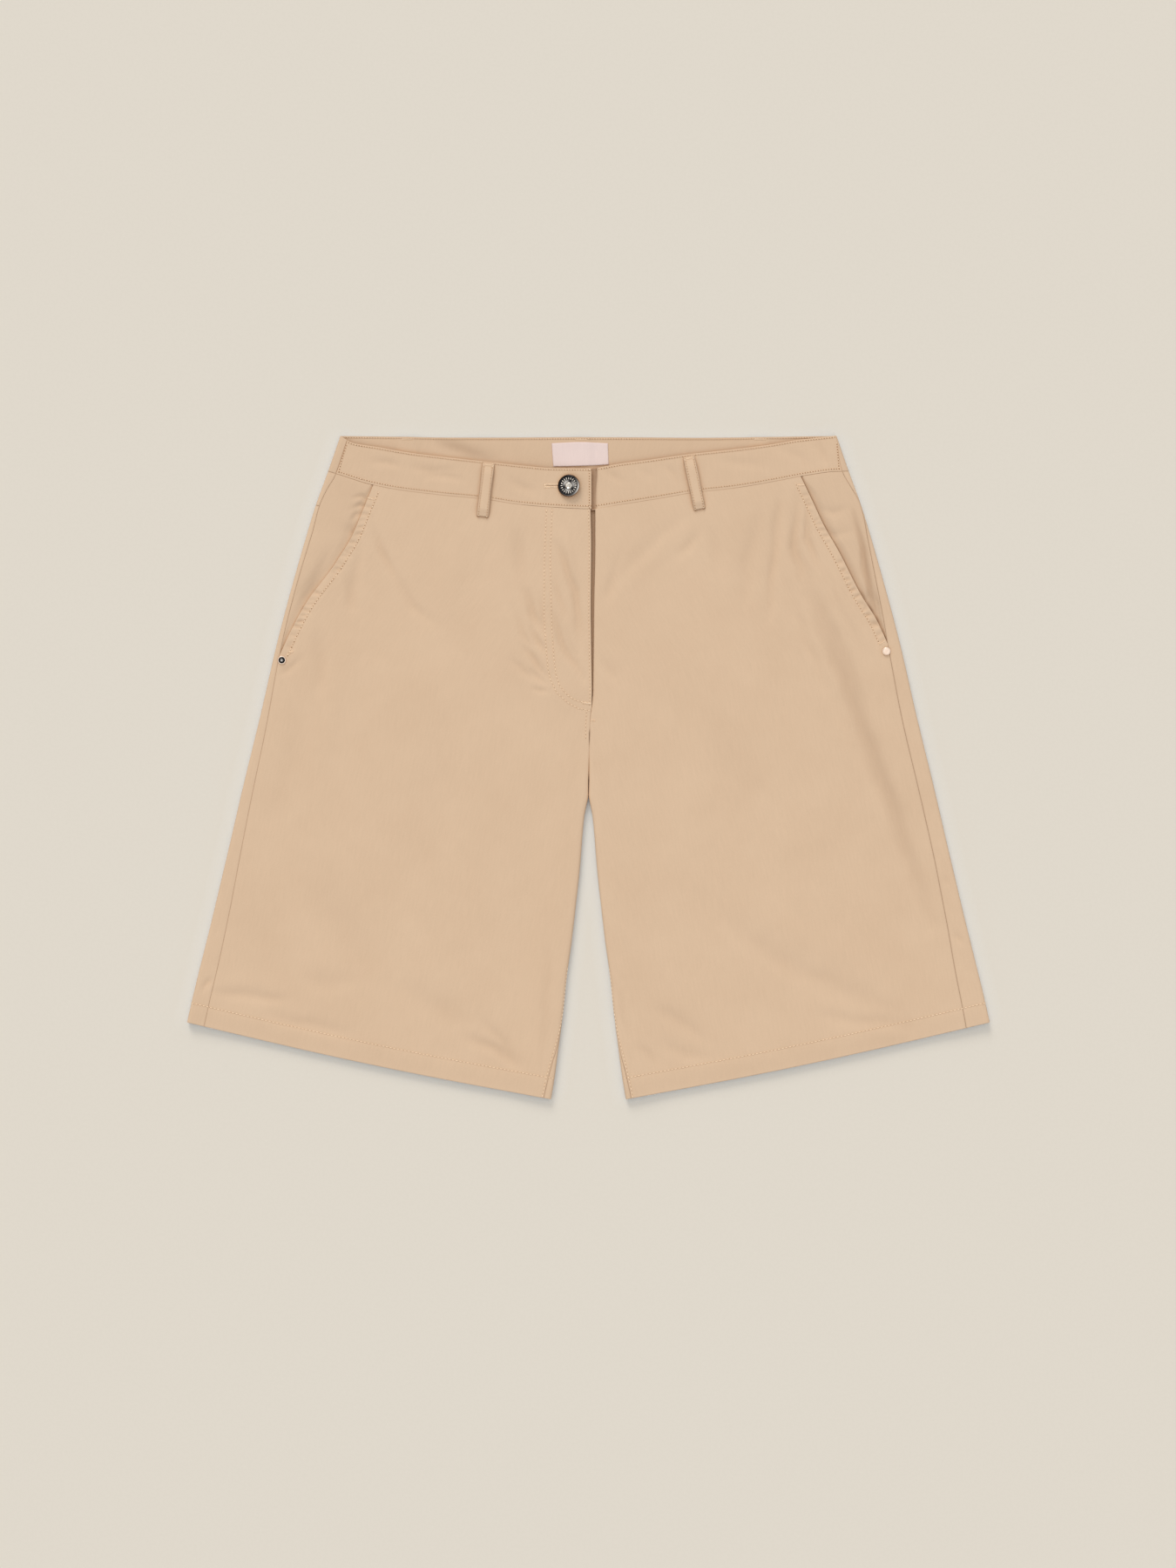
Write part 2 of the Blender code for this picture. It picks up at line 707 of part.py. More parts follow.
def on_top_flat(side, v, p):
    """The waistband's skin, which runs on past the centre line instead of rolling down at it."""
    if p < FULL_TURN:
        return on_top(side, v, p)
    a = FOLD_R + p - FULL_TURN
    x, y = front_point(side, v, a)
    sag = look_up(SAG, v) * step((a - FOLD_R) / SETTLE)
    return Vector((x, y, 2.0 * FOLD_R - sag + fly_relief(side, v, side * x)))


def band_back(name, collection):
    """The back waistband, in one piece from side seam to side seam."""
    rows = band_rows()

    def half_columns(side, v):
        xs = sorted(loop_stops(side) + [195.0, 105.0, 60.0], reverse=True)
        shown = back_side(side, v)
        middle = [across_back(v, 0.0)] if side < 0 else []
        around = joined(seam_strips(-shown, 1, shown, 4), spread(0.0, FULL_TURN, 3))
        return around + [across_back(v, x) for x in xs] + middle

    def place(i, j):
        v = rows[j]
        right, left = half_columns(-1, v), half_columns(1, v)
        if i < len(right):
            return underneath_flat(-1, v, right[i])
        return underneath_flat(1, v, left[len(right) + len(left) - 1 - i])

    count = len(half_columns(-1, -0.5)) + len(half_columns(1, -0.5)) - 1
    return cloth(name, count, len(rows) - 1, place, BAND_CLOTH, collection, up=False)


def underneath_flat(side, v, p):
    """The back waistband's skin, which has no seam at the centre back."""
    if p < FULL_TURN:
        return underneath(side, v, p)
    x, y = back_point(side, v, FOLD_R + p - FULL_TURN)
    return Vector((x, y, loop_lift(x, v)))


# ---------------------------------------------------------------- fly, loops, label and metal
def front_skin_z(x, y):
    """Height of the front's outer skin at a place, found by walking the stations."""
    side = -1 if x < 0 else 1
    low, high = (-1.0, 0.0) if y > front_seam_y(x) else (0.0, 1.0)
    for _ in range(30):
        v = (low + high) / 2
        x0, width = section(v, front_centre_y)[0][0], section(v, front_centre_y)[2]
        a = width * (1.0 - abs(x) / x0)
        if front_point(side, v, a)[1] > y:
            low = v
        else:
            high = v
    if v < 0:
        return on_top_flat(side, v, FULL_TURN + a - FOLD_R).z
    return on_top(side, v, FULL_TURN + a - FOLD_R).z


def front_seam_y(x):
    side = -1 if x < 0 else 1
    return look_up(WAIST, abs(x) / look_up(OUTER, WAIST_SIDE_Y), side_column(side))


def fly_shield(name, collection):
    """The underlap of the fly, sewn behind the left front and showing in the slit."""
    left, right = SHIELD_REACH
    top = WAIST_FRONT_Y - SEAM
    rows = spread(top, FLY_END_Y - 2.0, 8)

    def place(i, j):
        round_off = step((j - 5) / 3.0)
        x = mix(mix(left, 0.0, round_off * 0.75), right, i / 4)
        return Vector((x, rows[j], SHIELD_TOP_Z))

    return cloth(name, 4, 8, place, SHIELD_CLOTH, collection)


def belt_loop(name, x0, y0, x1, y1, collection):
    """A strip sewn down at both ends and standing off the waistband between them."""
    run = 10
    along = Vector((x1 - x0, y1 - y0, 0.0)).normalized()
    across = Vector((-along.y, along.x, 0.0)) * LOOP_WIDTH / 2
    base = max(front_skin_z(mix(x0, x1, t), mix(y0, y1, t)) for t in (0.02, 0.3, 0.6, 0.98))

    def place(i, j):
        t = j / run
        middle = Vector((mix(x0, x1, t), mix(y0, y1, t), 0.0))
        stand = LOOP_RISE * step(t / 0.3) * step((1.0 - t) / 0.3)
        middle.z = base + LAID_GAP + LOOP_CLOTH + stand
        return middle + across * (i - 1)

    return cloth(name, 2, run, place, LOOP_CLOTH, collection)


def back_loop(name, x, collection):
    """A loop under the back waistband, pressed flat against the floor."""
    side = -1 if x < 0 else 1
    ends = []
    for v in BACK_LOOP_V:
        (x0, _), _, width = section(v, back_centre_y)
        ends.append(back_point(side, v, width * (1.0 - abs(x) / x0))[1])

    def place(i, j):
        return Vector((x + LOOP_WIDTH * (i / 2 - 0.5), mix(ends[0], ends[1], j / 3), 0.0))

    return cloth(name, 2, 3, place, LOOP_CLOTH, collection, up=False)


def label(name, collection):
    """A woven label on the inside of the back waistband, following its face."""
    x0, x1, y0, y1 = LABEL_BOX
    centre = BACK_LOOPS[1][1]
    near, far = LOOP_RAMP
    stops = sorted([x0, x1, centre - far, centre - near, centre + near, centre + far])

    def place(i, j):
        x, y = stops[i], mix(y1, y0, j / 2)
        return Vector((x, y, loop_lift(x, -0.5) + BAND_CLOTH + LAID_GAP + LABEL_CLOTH))

    return cloth(name, len(stops) - 1, 2, place, LABEL_CLOTH, collection, finish="label")


def turned(name, profile, at, finish, collection, steps=28, tilt=0.0):
    """A turned piece.  The profile runs down its outer side, top to bottom, as radius and height."""
    mesh = bpy.data.meshes.new(name)
    bm = bmesh.new()
    verts = [bm.verts.new((r * MM, 0.0, z * MM)) for r, z in profile]
    for n in range(len(verts) - 1):
        bm.edges.new((verts[n], verts[n + 1]))
    bm.to_mesh(mesh)
    bm.free()
    obj = new_object(name, mesh, finish, collection)
    screw = obj.modifiers.new("turn", "SCREW")
    screw.steps = steps
    screw.render_steps = steps
    screw.use_merge_vertices = True
    screw.merge_threshold = 0.00002
    obj.location = Vector(at) * MM
    obj.rotation_euler = (0.0, tilt, 0.0)
    return obj


def button(name, collection):
    """A metal shank button: a dished head on a post that passes through the buttonhole."""
    r = BUTTON_D / 2
    lap_top = front_skin_z(*BUTTON_AT)
    pivot = lap_top + LAID_GAP + r * math.sin(BUTTON_TILT) + 0.1
    foot = (lap_top - BAND_CLOTH - pivot + 0.2) / math.cos(BUTTON_TILT)
    profile = (
        (0.0, 2.9),
        (2.6, 2.6),
        (3.4, 1.7),
        (r - 2.4, 1.9),
        (r - 0.9, 2.6),
        (r - 0.2, 2.1),
        (r, 1.2),
        (r - 0.5, 0.3),
        (r - 2.0, 0.0),
        (1.9, 0.0),
        (1.8, foot),
        (0.0, foot),
    )
    return turned(name, profile, (*BUTTON_AT, pivot), "gunmetal", collection, tilt=-BUTTON_TILT)


def rivet(name, x, y, collection):
    """A domed rivet at the foot of the pocket."""
    r = RIVET_D / 2
    skin = max(front_skin_z(x + dx, y + dy) for dx in (-3.0, 0.0, 3.0) for dy in (-3.0, 0.0, 3.0))
    profile = ((0.0, 2.1), (1.2, 1.95), (2.3, 1.5), (3.0, 0.9), (r, 0.5), (r, 0.0), (0.0, 0.0))
    return turned(name, profile, (x, y, skin + LAID_GAP), "gilt", collection, steps=20)


def buttonhole(band, collection):
    """Cuts the keyhole buttonhole through the right waistband."""
    x, y = BUTTON_AT
    bm = bmesh.new()
    bmesh.ops.create_cone(
        bm, cap_ends=True, segments=16, radius1=3.2 * MM, radius2=3.2 * MM, depth=10.0 * MM
    )
    eye = bpy.data.meshes.new("cut_eye")
    bm.to_mesh(eye)
    bm.free()
    bm = bmesh.new()
    bmesh.ops.create_cube(bm, size=1.0)
    bmesh.ops.scale(bm, vec=((x - HOLE_FAR_X) * MM, 1.2 * MM, 10.0 * MM), verts=bm.verts)
    slot = bpy.data.meshes.new("cut_slot")
    bm.to_mesh(slot)
    bm.free()
    for mesh, place in ((eye, x), (slot, (x + HOLE_FAR_X) / 2)):
        cutter = bpy.data.objects.new(mesh.name, mesh)
        cutter.location = Vector((place, y + 0.2, 6.0)) * MM
        cutter.hide_render = True
        cutter.display_type = "WIRE"
        collection.objects.link(cutter)
        cut = band.modifiers.new(mesh.name, "BOOLEAN")
        cut.operation = "DIFFERENCE"
        cut.object = cutter


# ---------------------------------------------------------------- the garment
def main():
    for obj in list(bpy.data.objects):
        bpy.data.objects.remove(obj)
    parts = bpy.data.collections.new("bermuda_shorts")
    cutters = bpy.data.collections.new("cutters")
    for collection in (parts, cutters):
        bpy.context.scene.collection.children.link(collection)
    for word, side in SIDES.items():
        front_panel(f"front_{word}", side, parts)
        back_panel(f"back_{word}", side, parts)
        yoke(f"back_yoke_{word}", side, parts)
        pocket_facing(f"pocket_facing_{word}", side, parts)
        rivet(f"rivet_{word}", *RIVETS[word], parts)
    buttonhole(band_front("waistband_front_right", -1, parts), cutters)
    band_front("waistband_front_left", 1, parts)
    band_back("waistband_back", parts)
    fly_shield("fly_shield", parts)
    for row in FRONT_LOOPS:
        belt_loop(*row, parts)
    for loop_name, x in BACK_LOOPS:
        back_loop(loop_name, x, parts)
    label("label", parts)
    button("button", parts)


main()
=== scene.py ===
# %% [markdown]
# # Bermuda shorts in tan cotton twill
#
# The shorts lie on their back on a pale floor, front up, as a shop lays them out.  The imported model
# already holds every cut piece as a plain wall of cloth, so this lesson dresses it.  Each wall becomes a
# thin shell on the same form, with its creases, rolled edges, seams and rows of stitches, and the metal
# trim gets its real profile.

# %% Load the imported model
import json
import math

import bmesh
import bpy
import numpy as np
from mathutils import Matrix, Vector
from mathutils.bvhtree import BVHTree

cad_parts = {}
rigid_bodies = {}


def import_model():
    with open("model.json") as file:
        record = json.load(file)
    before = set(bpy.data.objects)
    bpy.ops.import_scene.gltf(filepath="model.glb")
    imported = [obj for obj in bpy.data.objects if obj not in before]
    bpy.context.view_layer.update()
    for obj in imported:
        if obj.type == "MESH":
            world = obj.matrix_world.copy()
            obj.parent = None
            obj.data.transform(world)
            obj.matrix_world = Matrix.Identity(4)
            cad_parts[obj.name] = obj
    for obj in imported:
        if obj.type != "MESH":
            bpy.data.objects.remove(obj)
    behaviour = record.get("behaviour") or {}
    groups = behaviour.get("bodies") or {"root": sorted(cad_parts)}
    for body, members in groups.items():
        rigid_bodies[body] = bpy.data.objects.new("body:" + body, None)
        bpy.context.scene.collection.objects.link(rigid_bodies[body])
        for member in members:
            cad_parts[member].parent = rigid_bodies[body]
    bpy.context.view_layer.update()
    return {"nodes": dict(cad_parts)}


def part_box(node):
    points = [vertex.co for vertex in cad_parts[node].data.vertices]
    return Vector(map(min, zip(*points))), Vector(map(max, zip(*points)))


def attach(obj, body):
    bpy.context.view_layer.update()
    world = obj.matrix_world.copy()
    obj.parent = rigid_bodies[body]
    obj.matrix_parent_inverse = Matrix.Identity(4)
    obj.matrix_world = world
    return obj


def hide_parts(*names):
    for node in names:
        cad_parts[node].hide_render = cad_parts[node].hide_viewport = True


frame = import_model()
MM = 0.001
print("nodes:", ", ".join(sorted(frame["nodes"])))

# %% [markdown]
# ## Sizes of the garment
#
# All lengths are millimetres.  The shorts are described as two rings of cloth, one round each half.  A
# station v runs from -1 at the waistband's top edge through 0 at the waist seam to 1 at the hem, and a
# skin length p runs round the ring from the outer fold.  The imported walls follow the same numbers, so the
# shells land exactly on them.

# %% Driving sizes
FOLD_R = 3.1  # outer radius of the rolled folds
FULL_TURN = math.pi * FOLD_R / 2
WAIST_SIDE_Y, BAND_SIDE_Y, HEM_SIDE_Y = 258.4, 289.6, -222.4
BAND_FRONT_Y, WAIST_FRONT_Y = 260.9, 225.5
BAND_BACK_Y, WAIST_BACK_Y = 288.6, 250.8
CROTCH_Y, HEM_INSIDE_Y = -25.0, -289.6
SIDE_LENGTH = WAIST_SIDE_Y - HEM_SIDE_Y
CROTCH_V = (WAIST_FRONT_Y - CROTCH_Y) / (WAIST_FRONT_Y - HEM_INSIDE_Y)
FLY_END_V = (WAIST_FRONT_Y - 52.0) / (WAIST_FRONT_Y - HEM_INSIDE_Y)
BAND_HEIGHT = BAND_SIDE_Y - WAIST_SIDE_Y
HEM_BOW, TOP_DIP, HEM_FALL = 3.0, 0.9, 0.7
PRESSED = 0.72  # 1 is a half circle, less is squarer
LAP_RISE, LAP_SINK = 0.9, 0.6
SETTLE, CLEFT_SETTLE = 60.0, 45.0
FRONT_TURN_V, BACK_TURN_V = 0.35, 0.43
INSEAM_FROM_V, INSEAM_SHOWN = 0.84, {-1: 6.4, 1: 4.7}
UNDERLAP, OVERLAP = 28.0, 2.7
YOKE_SIDE, YOKE_CENTRE = 29.6, 62.0
POCKET_END_Y = {-1: 98.0, 1: 109.4}
BACK_LOOPS = {"loop_back_right": -158.0, "loop_back_centre": -6.0, "loop_back_left": 150.0}
BACK_LOOP_V, LOOP_LIFT, LOOP_RAMP, LOOP_RAMP_V = (-0.95, 0.019), 1.2, (6.0, 12.0), (0.024, 0.038)
LOOP_WIDTH = 10.3
WORDS = {-1: "right", 1: "left"}  # the wearer's right half has negative x

# Outline: y, distance of the outer fold from the centre line.
OUTER = (
    (289.6, 216.5), (258.4, 227.3), (228.8, 238.0), (168.0, 256.0), (107.0, 272.2), (46.0, 286.2),
    (-14.0, 300.8), (-75.0, 315.0), (-136.0, 329.5), (-197.0, 344.6), (-222.4, 350.4),
)
# Inner fold of a leg: y, distance from the centre line.
INNER = (
    (-25.0, 0.0), (-45.0, 3.8), (-90.0, 7.6), (-121.0, 11.0), (-152.0, 14.6), (-182.0, 18.8),
    (-212.0, 21.9), (-243.0, 25.8), (-274.0, 30.0), (-289.6, 32.6),
)
# Share from the centre front to the fold, waist seam y on the right and left, band top y on each.
WAIST = (
    (-0.15, 225.4, 224.6, 261.2, 260.4), (0.00, 225.5, 225.5, 260.9, 260.9),
    (0.13, 226.8, 229.6, 261.0, 265.2), (0.27, 229.6, 234.6, 263.5, 269.2),
    (0.40, 234.1, 239.6, 266.6, 273.2), (0.57, 237.8, 244.0, 270.6, 277.2),
    (0.73, 242.3, 250.3, 275.0, 281.6), (0.84, 247.2, 255.0, 279.2, 285.6),
    (0.95, 255.0, 258.2, 283.2, 288.2), (1.00, 258.4, 258.4, 289.6, 289.6),
)
# y at the fold, inset of the side seam from the outline on the right and left.
SIDE_SEAM = (
    (289.6, 6.3, 0.6), (258.4, 7.2, 6.0), (243.0, 4.6, 3.2), (228.8, 3.4, 0.9), (205.0, 4.4, 3.0),
    (168.0, 3.9, 6.2), (136.0, 4.0, 8.6), (98.0, 4.8, 11.4), (20.0, 8.2, 13.6), (-60.0, 10.8, 13.8),
    (-130.0, 13.8, 16.2), (-180.0, 15.2, 19.6), (-222.4, 15.4, 21.2),
)
# Share of the way down the pocket, inset of its edge from the outline on the right and left.
POCKET = (
    (0.00, 40.0, 42.6), (0.25, 38.2, 38.4), (0.45, 31.0, 31.0), (0.70, 15.8, 22.6), (0.85, 9.6, 15.2),
    (1.00, 4.8, 10.6),
)
# y, x of the right front's edge and of the left front's edge at the fly and the centre seam.
FLY = (
    (226.0, 1.8, 5.9), (195.0, 2.4, 5.9), (140.0, 2.1, 4.9), (100.0, 2.5, 4.5), (65.0, 3.0, 3.9),
    (54.0, 2.8, 2.9), (44.0, 1.7, 1.7), (28.0, 0.9, 0.9), (10.0, 0.6, 0.6), (-25.0, 0.0, 0.0),
)
# Station, how far the front layer sinks between the folds.
SAG = ((-1.0, 0.4), (0.0, 0.6), (0.15, 1.3), (0.45, 1.7), (0.75, 2.3), (0.93, 1.6), (1.0, 1.1))
print("side:", round(SIDE_LENGTH, 1), "mm from waist seam to hem, band", round(BAND_HEIGHT, 1), "mm")

# %% [markdown]
# ## Reading the tables
#
# A pattern cutter draws a smooth line through a few measured marks.  The same is done here with a curve
# that passes through each row and never overshoots it, sampled once and then read with numpy, which
# places a whole panel's points in one go.

# %% Smooth curves through the rows
def step(t):
    t = np.clip(t, 0.0, 1.0)
    return t * t * (3.0 - 2.0 * t)


def mix(a, b, t):
    return a + (b - a) * t


def curve(table, column=1, samples=1500):
    """A function that reads one column of a table along a smooth line through its rows."""
    rows = np.array(sorted(table), float)
    x, y = rows[:, 0], rows[:, column]
    chords = np.diff(y) / np.diff(x)
    slopes = np.empty_like(y)
    slopes[0], slopes[-1] = chords[0], chords[-1]
    for n in range(1, len(y) - 1):
        a, b = chords[n - 1], chords[n]
        slopes[n] = 0.0 if a * b <= 0.0 else 2.0 * a * b / (a + b)
    keys = np.linspace(x[0], x[-1], samples)
    n = np.clip(np.searchsorted(x, keys, side="right") - 1, 0, len(x) - 2)
    w = x[n + 1] - x[n]
    t = (keys - x[n]) / w
    values = y[n] + (y[n + 1] - y[n]) * step(t)
    values += (t - 2 * t**2 + t**3) * w * slopes[n] + (t**3 - t**2) * w * slopes[n + 1]
    return lambda at: np.interp(at, keys, values)


outer_x, inner_x, sag_at = curve(OUTER), curve(INNER), curve(SAG)
waist_y = {-1: curve(WAIST, 1), 1: curve(WAIST, 2)}
band_y = {-1: curve(WAIST, 3), 1: curve(WAIST, 4)}
seam_inset = {-1: curve(SIDE_SEAM, 1), 1: curve(SIDE_SEAM, 2)}
pocket_inset = {-1: curve(POCKET, 1), 1: curve(POCKET, 2)}
fly_x = {-1: curve(FLY, 1), 1: curve(FLY, 2)}
pocket_v = {side: (WAIST_SIDE_Y - y) / SIDE_LENGTH for side, y in POCKET_END_Y.items()}
print("half width at the hem:", round(float(outer_x(HEM_SIDE_Y)), 1), "mm")

# %% [markdown]
# ## Creases
#
# Cotton that has been folded and handled keeps soft troughs and ridges.  They could come from a cloth
# simulation, but laid cloth shows the creases of one pair of hands, so each is listed: a line of
# points, a half width and a height, none alike.  The long trough down the left leg, the fans below the
# belt loop and the pulls beside the fly are the ones that give these shorts their look.

# %% The creases, in millimetres: points, half width, height
CREASES = (
    (((150, 236), (170, 180), (202, 115), (228, 45), (254, -30), (280, -110)), 15.0, 0.45),
    (((182, 190), (194, 150), (209, 110), (232, 50), (254, -8), (276, -72), (298, -136)), 8.0, -1.10),
    (((168, 176), (180, 135), (202, 84), (230, 24), (254, -34)), 5.0, -0.44),
    (((114, 26), (152, -22), (190, -70)), 9.0, -0.10),
    (((200, 150), (224, 98), (246, 40)), 5.0, -0.45),
    (((212, 168), (226, 140), (240, 105)), 4.0, 0.30),
    (((166, 238), (163, 190), (158, 130)), 4.5, -0.64),
    (((182, 240), (180, 190), (186, 160)), 4.0, -0.60),
    (((150, 222), (140, 180), (134, 140)), 7.0, -0.40),
    (((190, 238), (192, 200), (200, 170)), 3.2, -0.56),
    (((88, 222), (57, 198), (32, 172), (11, 146)), 6.0, -0.24),
    (((72, 204), (56, 180), (40, 156)), 5.0, 0.08),
    (((94, 204), (86, 192), (74, 182)), 4.5, -0.30),
    (((104, 210), (112, 190), (116, 168)), 5.0, -0.30),
    (((30, 190), (18, 160), (15, 140)), 4.5, -0.30),
    (((10, 96), (18, 86), (24, 76)), 5.0, -0.30),
    (((97, -112), (138, -149), (186, -178), (249, -206), (287, -219)), 10.0, -0.40),
    (((120, -100), (165, -136), (215, -160), (270, -180)), 13.0, 0.16),
    (((56, -208), (78, -222), (104, -238)), 6.0, -0.42),
    (((40, -240), (50, -248), (60, -262)), 4.0, -0.50),
    (((60, -240), (84, -250), (112, -252)), 5.0, -0.30),
    (((24, -190), (30, -214), (36, -238)), 4.0, -0.50),
    (((200, -215), (240, -222), (290, -226)), 6.0, -0.35),
    (((-187, 206), (-177, 184), (-169, 166)), 3.6, -0.50),
    (((-172, 172), (-154, 142), (-132, 124)), 5.0, -0.34),
    (((-198, 196), (-204, 168), (-208, 134)), 5.5, -0.38),
    (((-214, 172), (-208, 150), (-206, 134)), 5.0, -0.30),
    (((-236, 122), (-234, 92), (-232, 60)), 7.0, -0.40),
    (((-216, 108), (-222, 60), (-230, 10)), 9.0, 0.30),
    (((-330, -195), (-306, -198), (-282, -200), (-262, -202)), 4.5, -0.38),
    (((-322, -186), (-290, -190), (-256, -194)), 8.0, 0.10),
    (((-250, -184), (-226, -188), (-200, -186)), 9.0, -0.30),
    (((-280, -216), (-240, -226), (-205, -231)), 5.0, -0.35),
    (((-170, -190), (-130, -208), (-100, -230)), 12.0, -0.40),
    (((-110, -236), (-82, -246), (-57, -262)), 4.5, -0.52),
    (((-92, -222), (-74, -240), (-66, -256)), 4.0, -0.35),
    (((-35, -144), (-37, -190), (-39, -232), (-42, -270)), 5.0, -0.56),
    (((-22, -150), (-26, -190), (-30, -236)), 4.0, 0.25),
    (((-250, -90), (-210, -140), (-180, -180)), 20.0, -0.45),
    (((-250, 60), (-262, 0), (-278, -60)), 14.0, -0.30),
    (((-28, 196), (-20, 176), (-12, 153), (-9, 134), (-8, 100)), 3.6, -0.70),
    (((-34, 138), (-25, 118), (-16, 95), (-5, 77)), 3.2, -0.62),
    (((-56, 158), (-50, 135), (-41, 122)), 4.0, -0.68),
    (((-50, 126), (-44, 112), (-37, 100)), 3.2, -0.52),
    (((-58, 108), (-46, 92), (-34, 77)), 3.4, -0.52),
    (((-52, 86), (-44, 80), (-35, 71)), 2.8, -0.36),
    (((-49, 69), (-42, 66), (-33, 66)), 2.8, -0.22),
    (((-62, 210), (-60, 184), (-56, 156)), 6.0, -0.50),
    (((-24, 210), (-16, 186), (-14, 160)), 4.0, 0.30),
    (((-66, 140), (-58, 118), (-48, 104)), 3.4, -0.34),
    (((-44, 150), (-40, 132), (-38, 116)), 2.6, -0.36),
    (((-68, 96), (-58, 84), (-46, 76)), 3.0, -0.30),
    (((-31, 168), (-25, 146), (-20, 130)), 2.6, -0.34),
    (((-18, 120), (-13, 102), (-8, 88)), 2.4, -0.30),
    (((-84, 206), (-92, 180), (-96, 150)), 6.0, -0.12),
    (((-110, 210), (-122, 170), (-128, 120)), 10.0, 0.22),
    (((-120, 60), (-136, -10), (-150, -90)), 22.0, -0.30),
    (((110, 70), (124, 0), (136, -60)), 22.0, -0.26),
    (((6, 30), (12, -10), (20, -60)), 8.0, -0.30),
    (((-6, 30), (-14, -10), (-20, -60)), 8.0, -0.30),
    (((-341, -196), (-335, -190), (-328, -185)), 2.6, -0.50),
    (((-336, -150), (-330, -146), (-326, -140)), 2.6, -0.25),
    (((308, -98), (313, -101), (318, -106)), 2.4, -0.35),
    (((317, -146), (323, -149), (330, -155)), 2.4, -0.40),
    (((329, -176), (336, -179), (342, -186)), 2.4, -0.40),
    (((-250, 96), (-262, 84), (-268, 80)), 3.0, -0.30),
    # on the waistband
    (((-156, 264), (-138, 260), (-116, 259)), 3.6, -0.42),
    (((-146, 256), (-128, 254), (-108, 251)), 3.0, -0.42),
    (((-190, 268), (-176, 266), (-162, 262)), 3.2, -0.40),
    (((-70, 252), (-58, 246), (-46, 240)), 4.0, -0.40),
    (((12, 262), (22, 254), (34, 249)), 3.4, -0.30),
    (((40, 262), (52, 256), (58, 248)), 3.6, -0.22),
    (((64, 264), (74, 256), (82, 244)), 3.4, -0.34),
    (((112, 270), (136, 264), (158, 262)), 4.0, -0.24),
    (((160, 280), (180, 272), (196, 262)), 4.2, -0.22),
    (((200, 284), (206, 274), (208, 264)), 3.0, -0.36),
    # on the pocket facings
    (((231, 224), (240, 190), (246, 152), (250, 135)), 3.4, -0.70),
    (((204, 226), (214, 222), (226, 226)), 4.0, -0.30),
    (((203, 206), (214, 203), (230, 208)), 4.0, -0.28),
    (((-193, 232), (-198, 236), (-206, 234)), 2.2, -0.36),
    (((-192, 226), (-199, 228), (-208, 224)), 2.2, -0.36),
    (((-195, 219), (-203, 220), (-209, 214)), 2.4, -0.30),
    (((-226, 188), (-238, 162), (-252, 138)), 5.5, -0.60),
)

# On the back, which presses flat on the floor: ridges only, where the cloth lifts a little.
BACK_CREASES = (
    (((-196, 196), (-150, 150), (-96, 120)), 9.0, 0.16), (((-84, 170), (-52, 120), (-40, 60)), 6.0, 0.13),
    (((-236, 90), (-246, 20), (-262, -50)), 12.0, 0.15), (((-190, -40), (-150, -86), (-96, -104)), 8.0, 0.18),
    (((-300, -150), (-240, -166), (-170, -158)), 7.0, 0.16), (((-92, -190), (-70, -220), (-58, -250)), 5.0, 0.14),
    (((190, 176), (160, 120), (120, 86)), 10.0, 0.17), (((44, 150), (60, 96), (96, 52)), 5.0, 0.13),
    (((252, 60), (262, -10), (284, -84)), 9.0, 0.14), (((92, -60), (140, -104), (206, -122)), 11.0, 0.18),
    (((294, -168), (246, -186), (190, -176)), 6.0, 0.15), (((62, -196), (84, -222), (124, -236)), 6.0, 0.16),
    (((-20, 130), (-8, 70), (-16, 20)), 5.0, 0.12), (((20, 40), (26, -10), (44, -60)), 6.0, 0.12),
)
print("creases placed by hand:", len(CREASES), "in front,", len(BACK_CREASES), "behind")


def to_line(x, y, line):
    """Distance from a line of points, how far along it the nearest place is (0 to 1), and on which side."""
    best, along, side = np.full(x.shape, 1e9), np.zeros(x.shape), np.ones(x.shape)
    for n in range(len(line) - 1):
        (x0, y0), (x1, y1) = line[n], line[n + 1]
        dx, dy = x1 - x0, y1 - y0
        t = np.clip(((x - x0) * dx + (y - y0) * dy) / (dx * dx + dy * dy), 0.0, 1.0)
        away = np.hypot(x - x0 - t * dx, y - y0 - t * dy)
        near = away < best
        best, along = np.where(near, away, best), np.where(near, (n + t) / (len(line) - 1), along)
        side = np.where(near, np.where(dx * (y - y0) - dy * (x - x0) < 0, -1.0, 1.0), side)
    return best, along, side


def swell(x, y):
    """The slow unevenness of laid cloth, from a few crossing waves of unlike lengths."""
    waves = ((41, 0.4, 0.1), (57, 1.9, 2.0), (73, 2.7, 4.4), (97, 1.2, 1.1), (29, 2.2, 0.7))
    total = np.zeros(x.shape)
    for length, turn, phase in waves:
        total += np.sin((x * math.cos(turn) + y * math.sin(turn)) * 2 * math.pi / length + phase)
    return total / len(waves)


def puckers(line, pitch, reach, depth, seed):
    """Short creases across a stitched line, uneven in place, length and depth."""
    rng = np.random.default_rng(seed)
    line = [Vector(point) for point in line]
    found = []
    for a, b in zip(line, line[1:]):
        along = (b - a).normalized()
        across = Vector((-along.y, along.x))
        at = pitch * rng.uniform(0.2, 0.8)
        while at < (b - a).length:
            lean = along * rng.uniform(-1.0, 2.4)
            middle = a + along * at
            near, far = reach[0] * rng.uniform(0.7, 1.1), reach[1] * rng.uniform(0.7, 1.2)
            ends = (middle + across * near - lean, middle + across * far + lean)
            found.append((tuple(tuple(p) for p in ends), rng.uniform(1.1, 1.9), -depth * rng.uniform(0.4, 1.2)))
            at += pitch * rng.uniform(0.6, 1.5)
    return found


RELIEF = 3.2  # how strongly the creases are pressed in


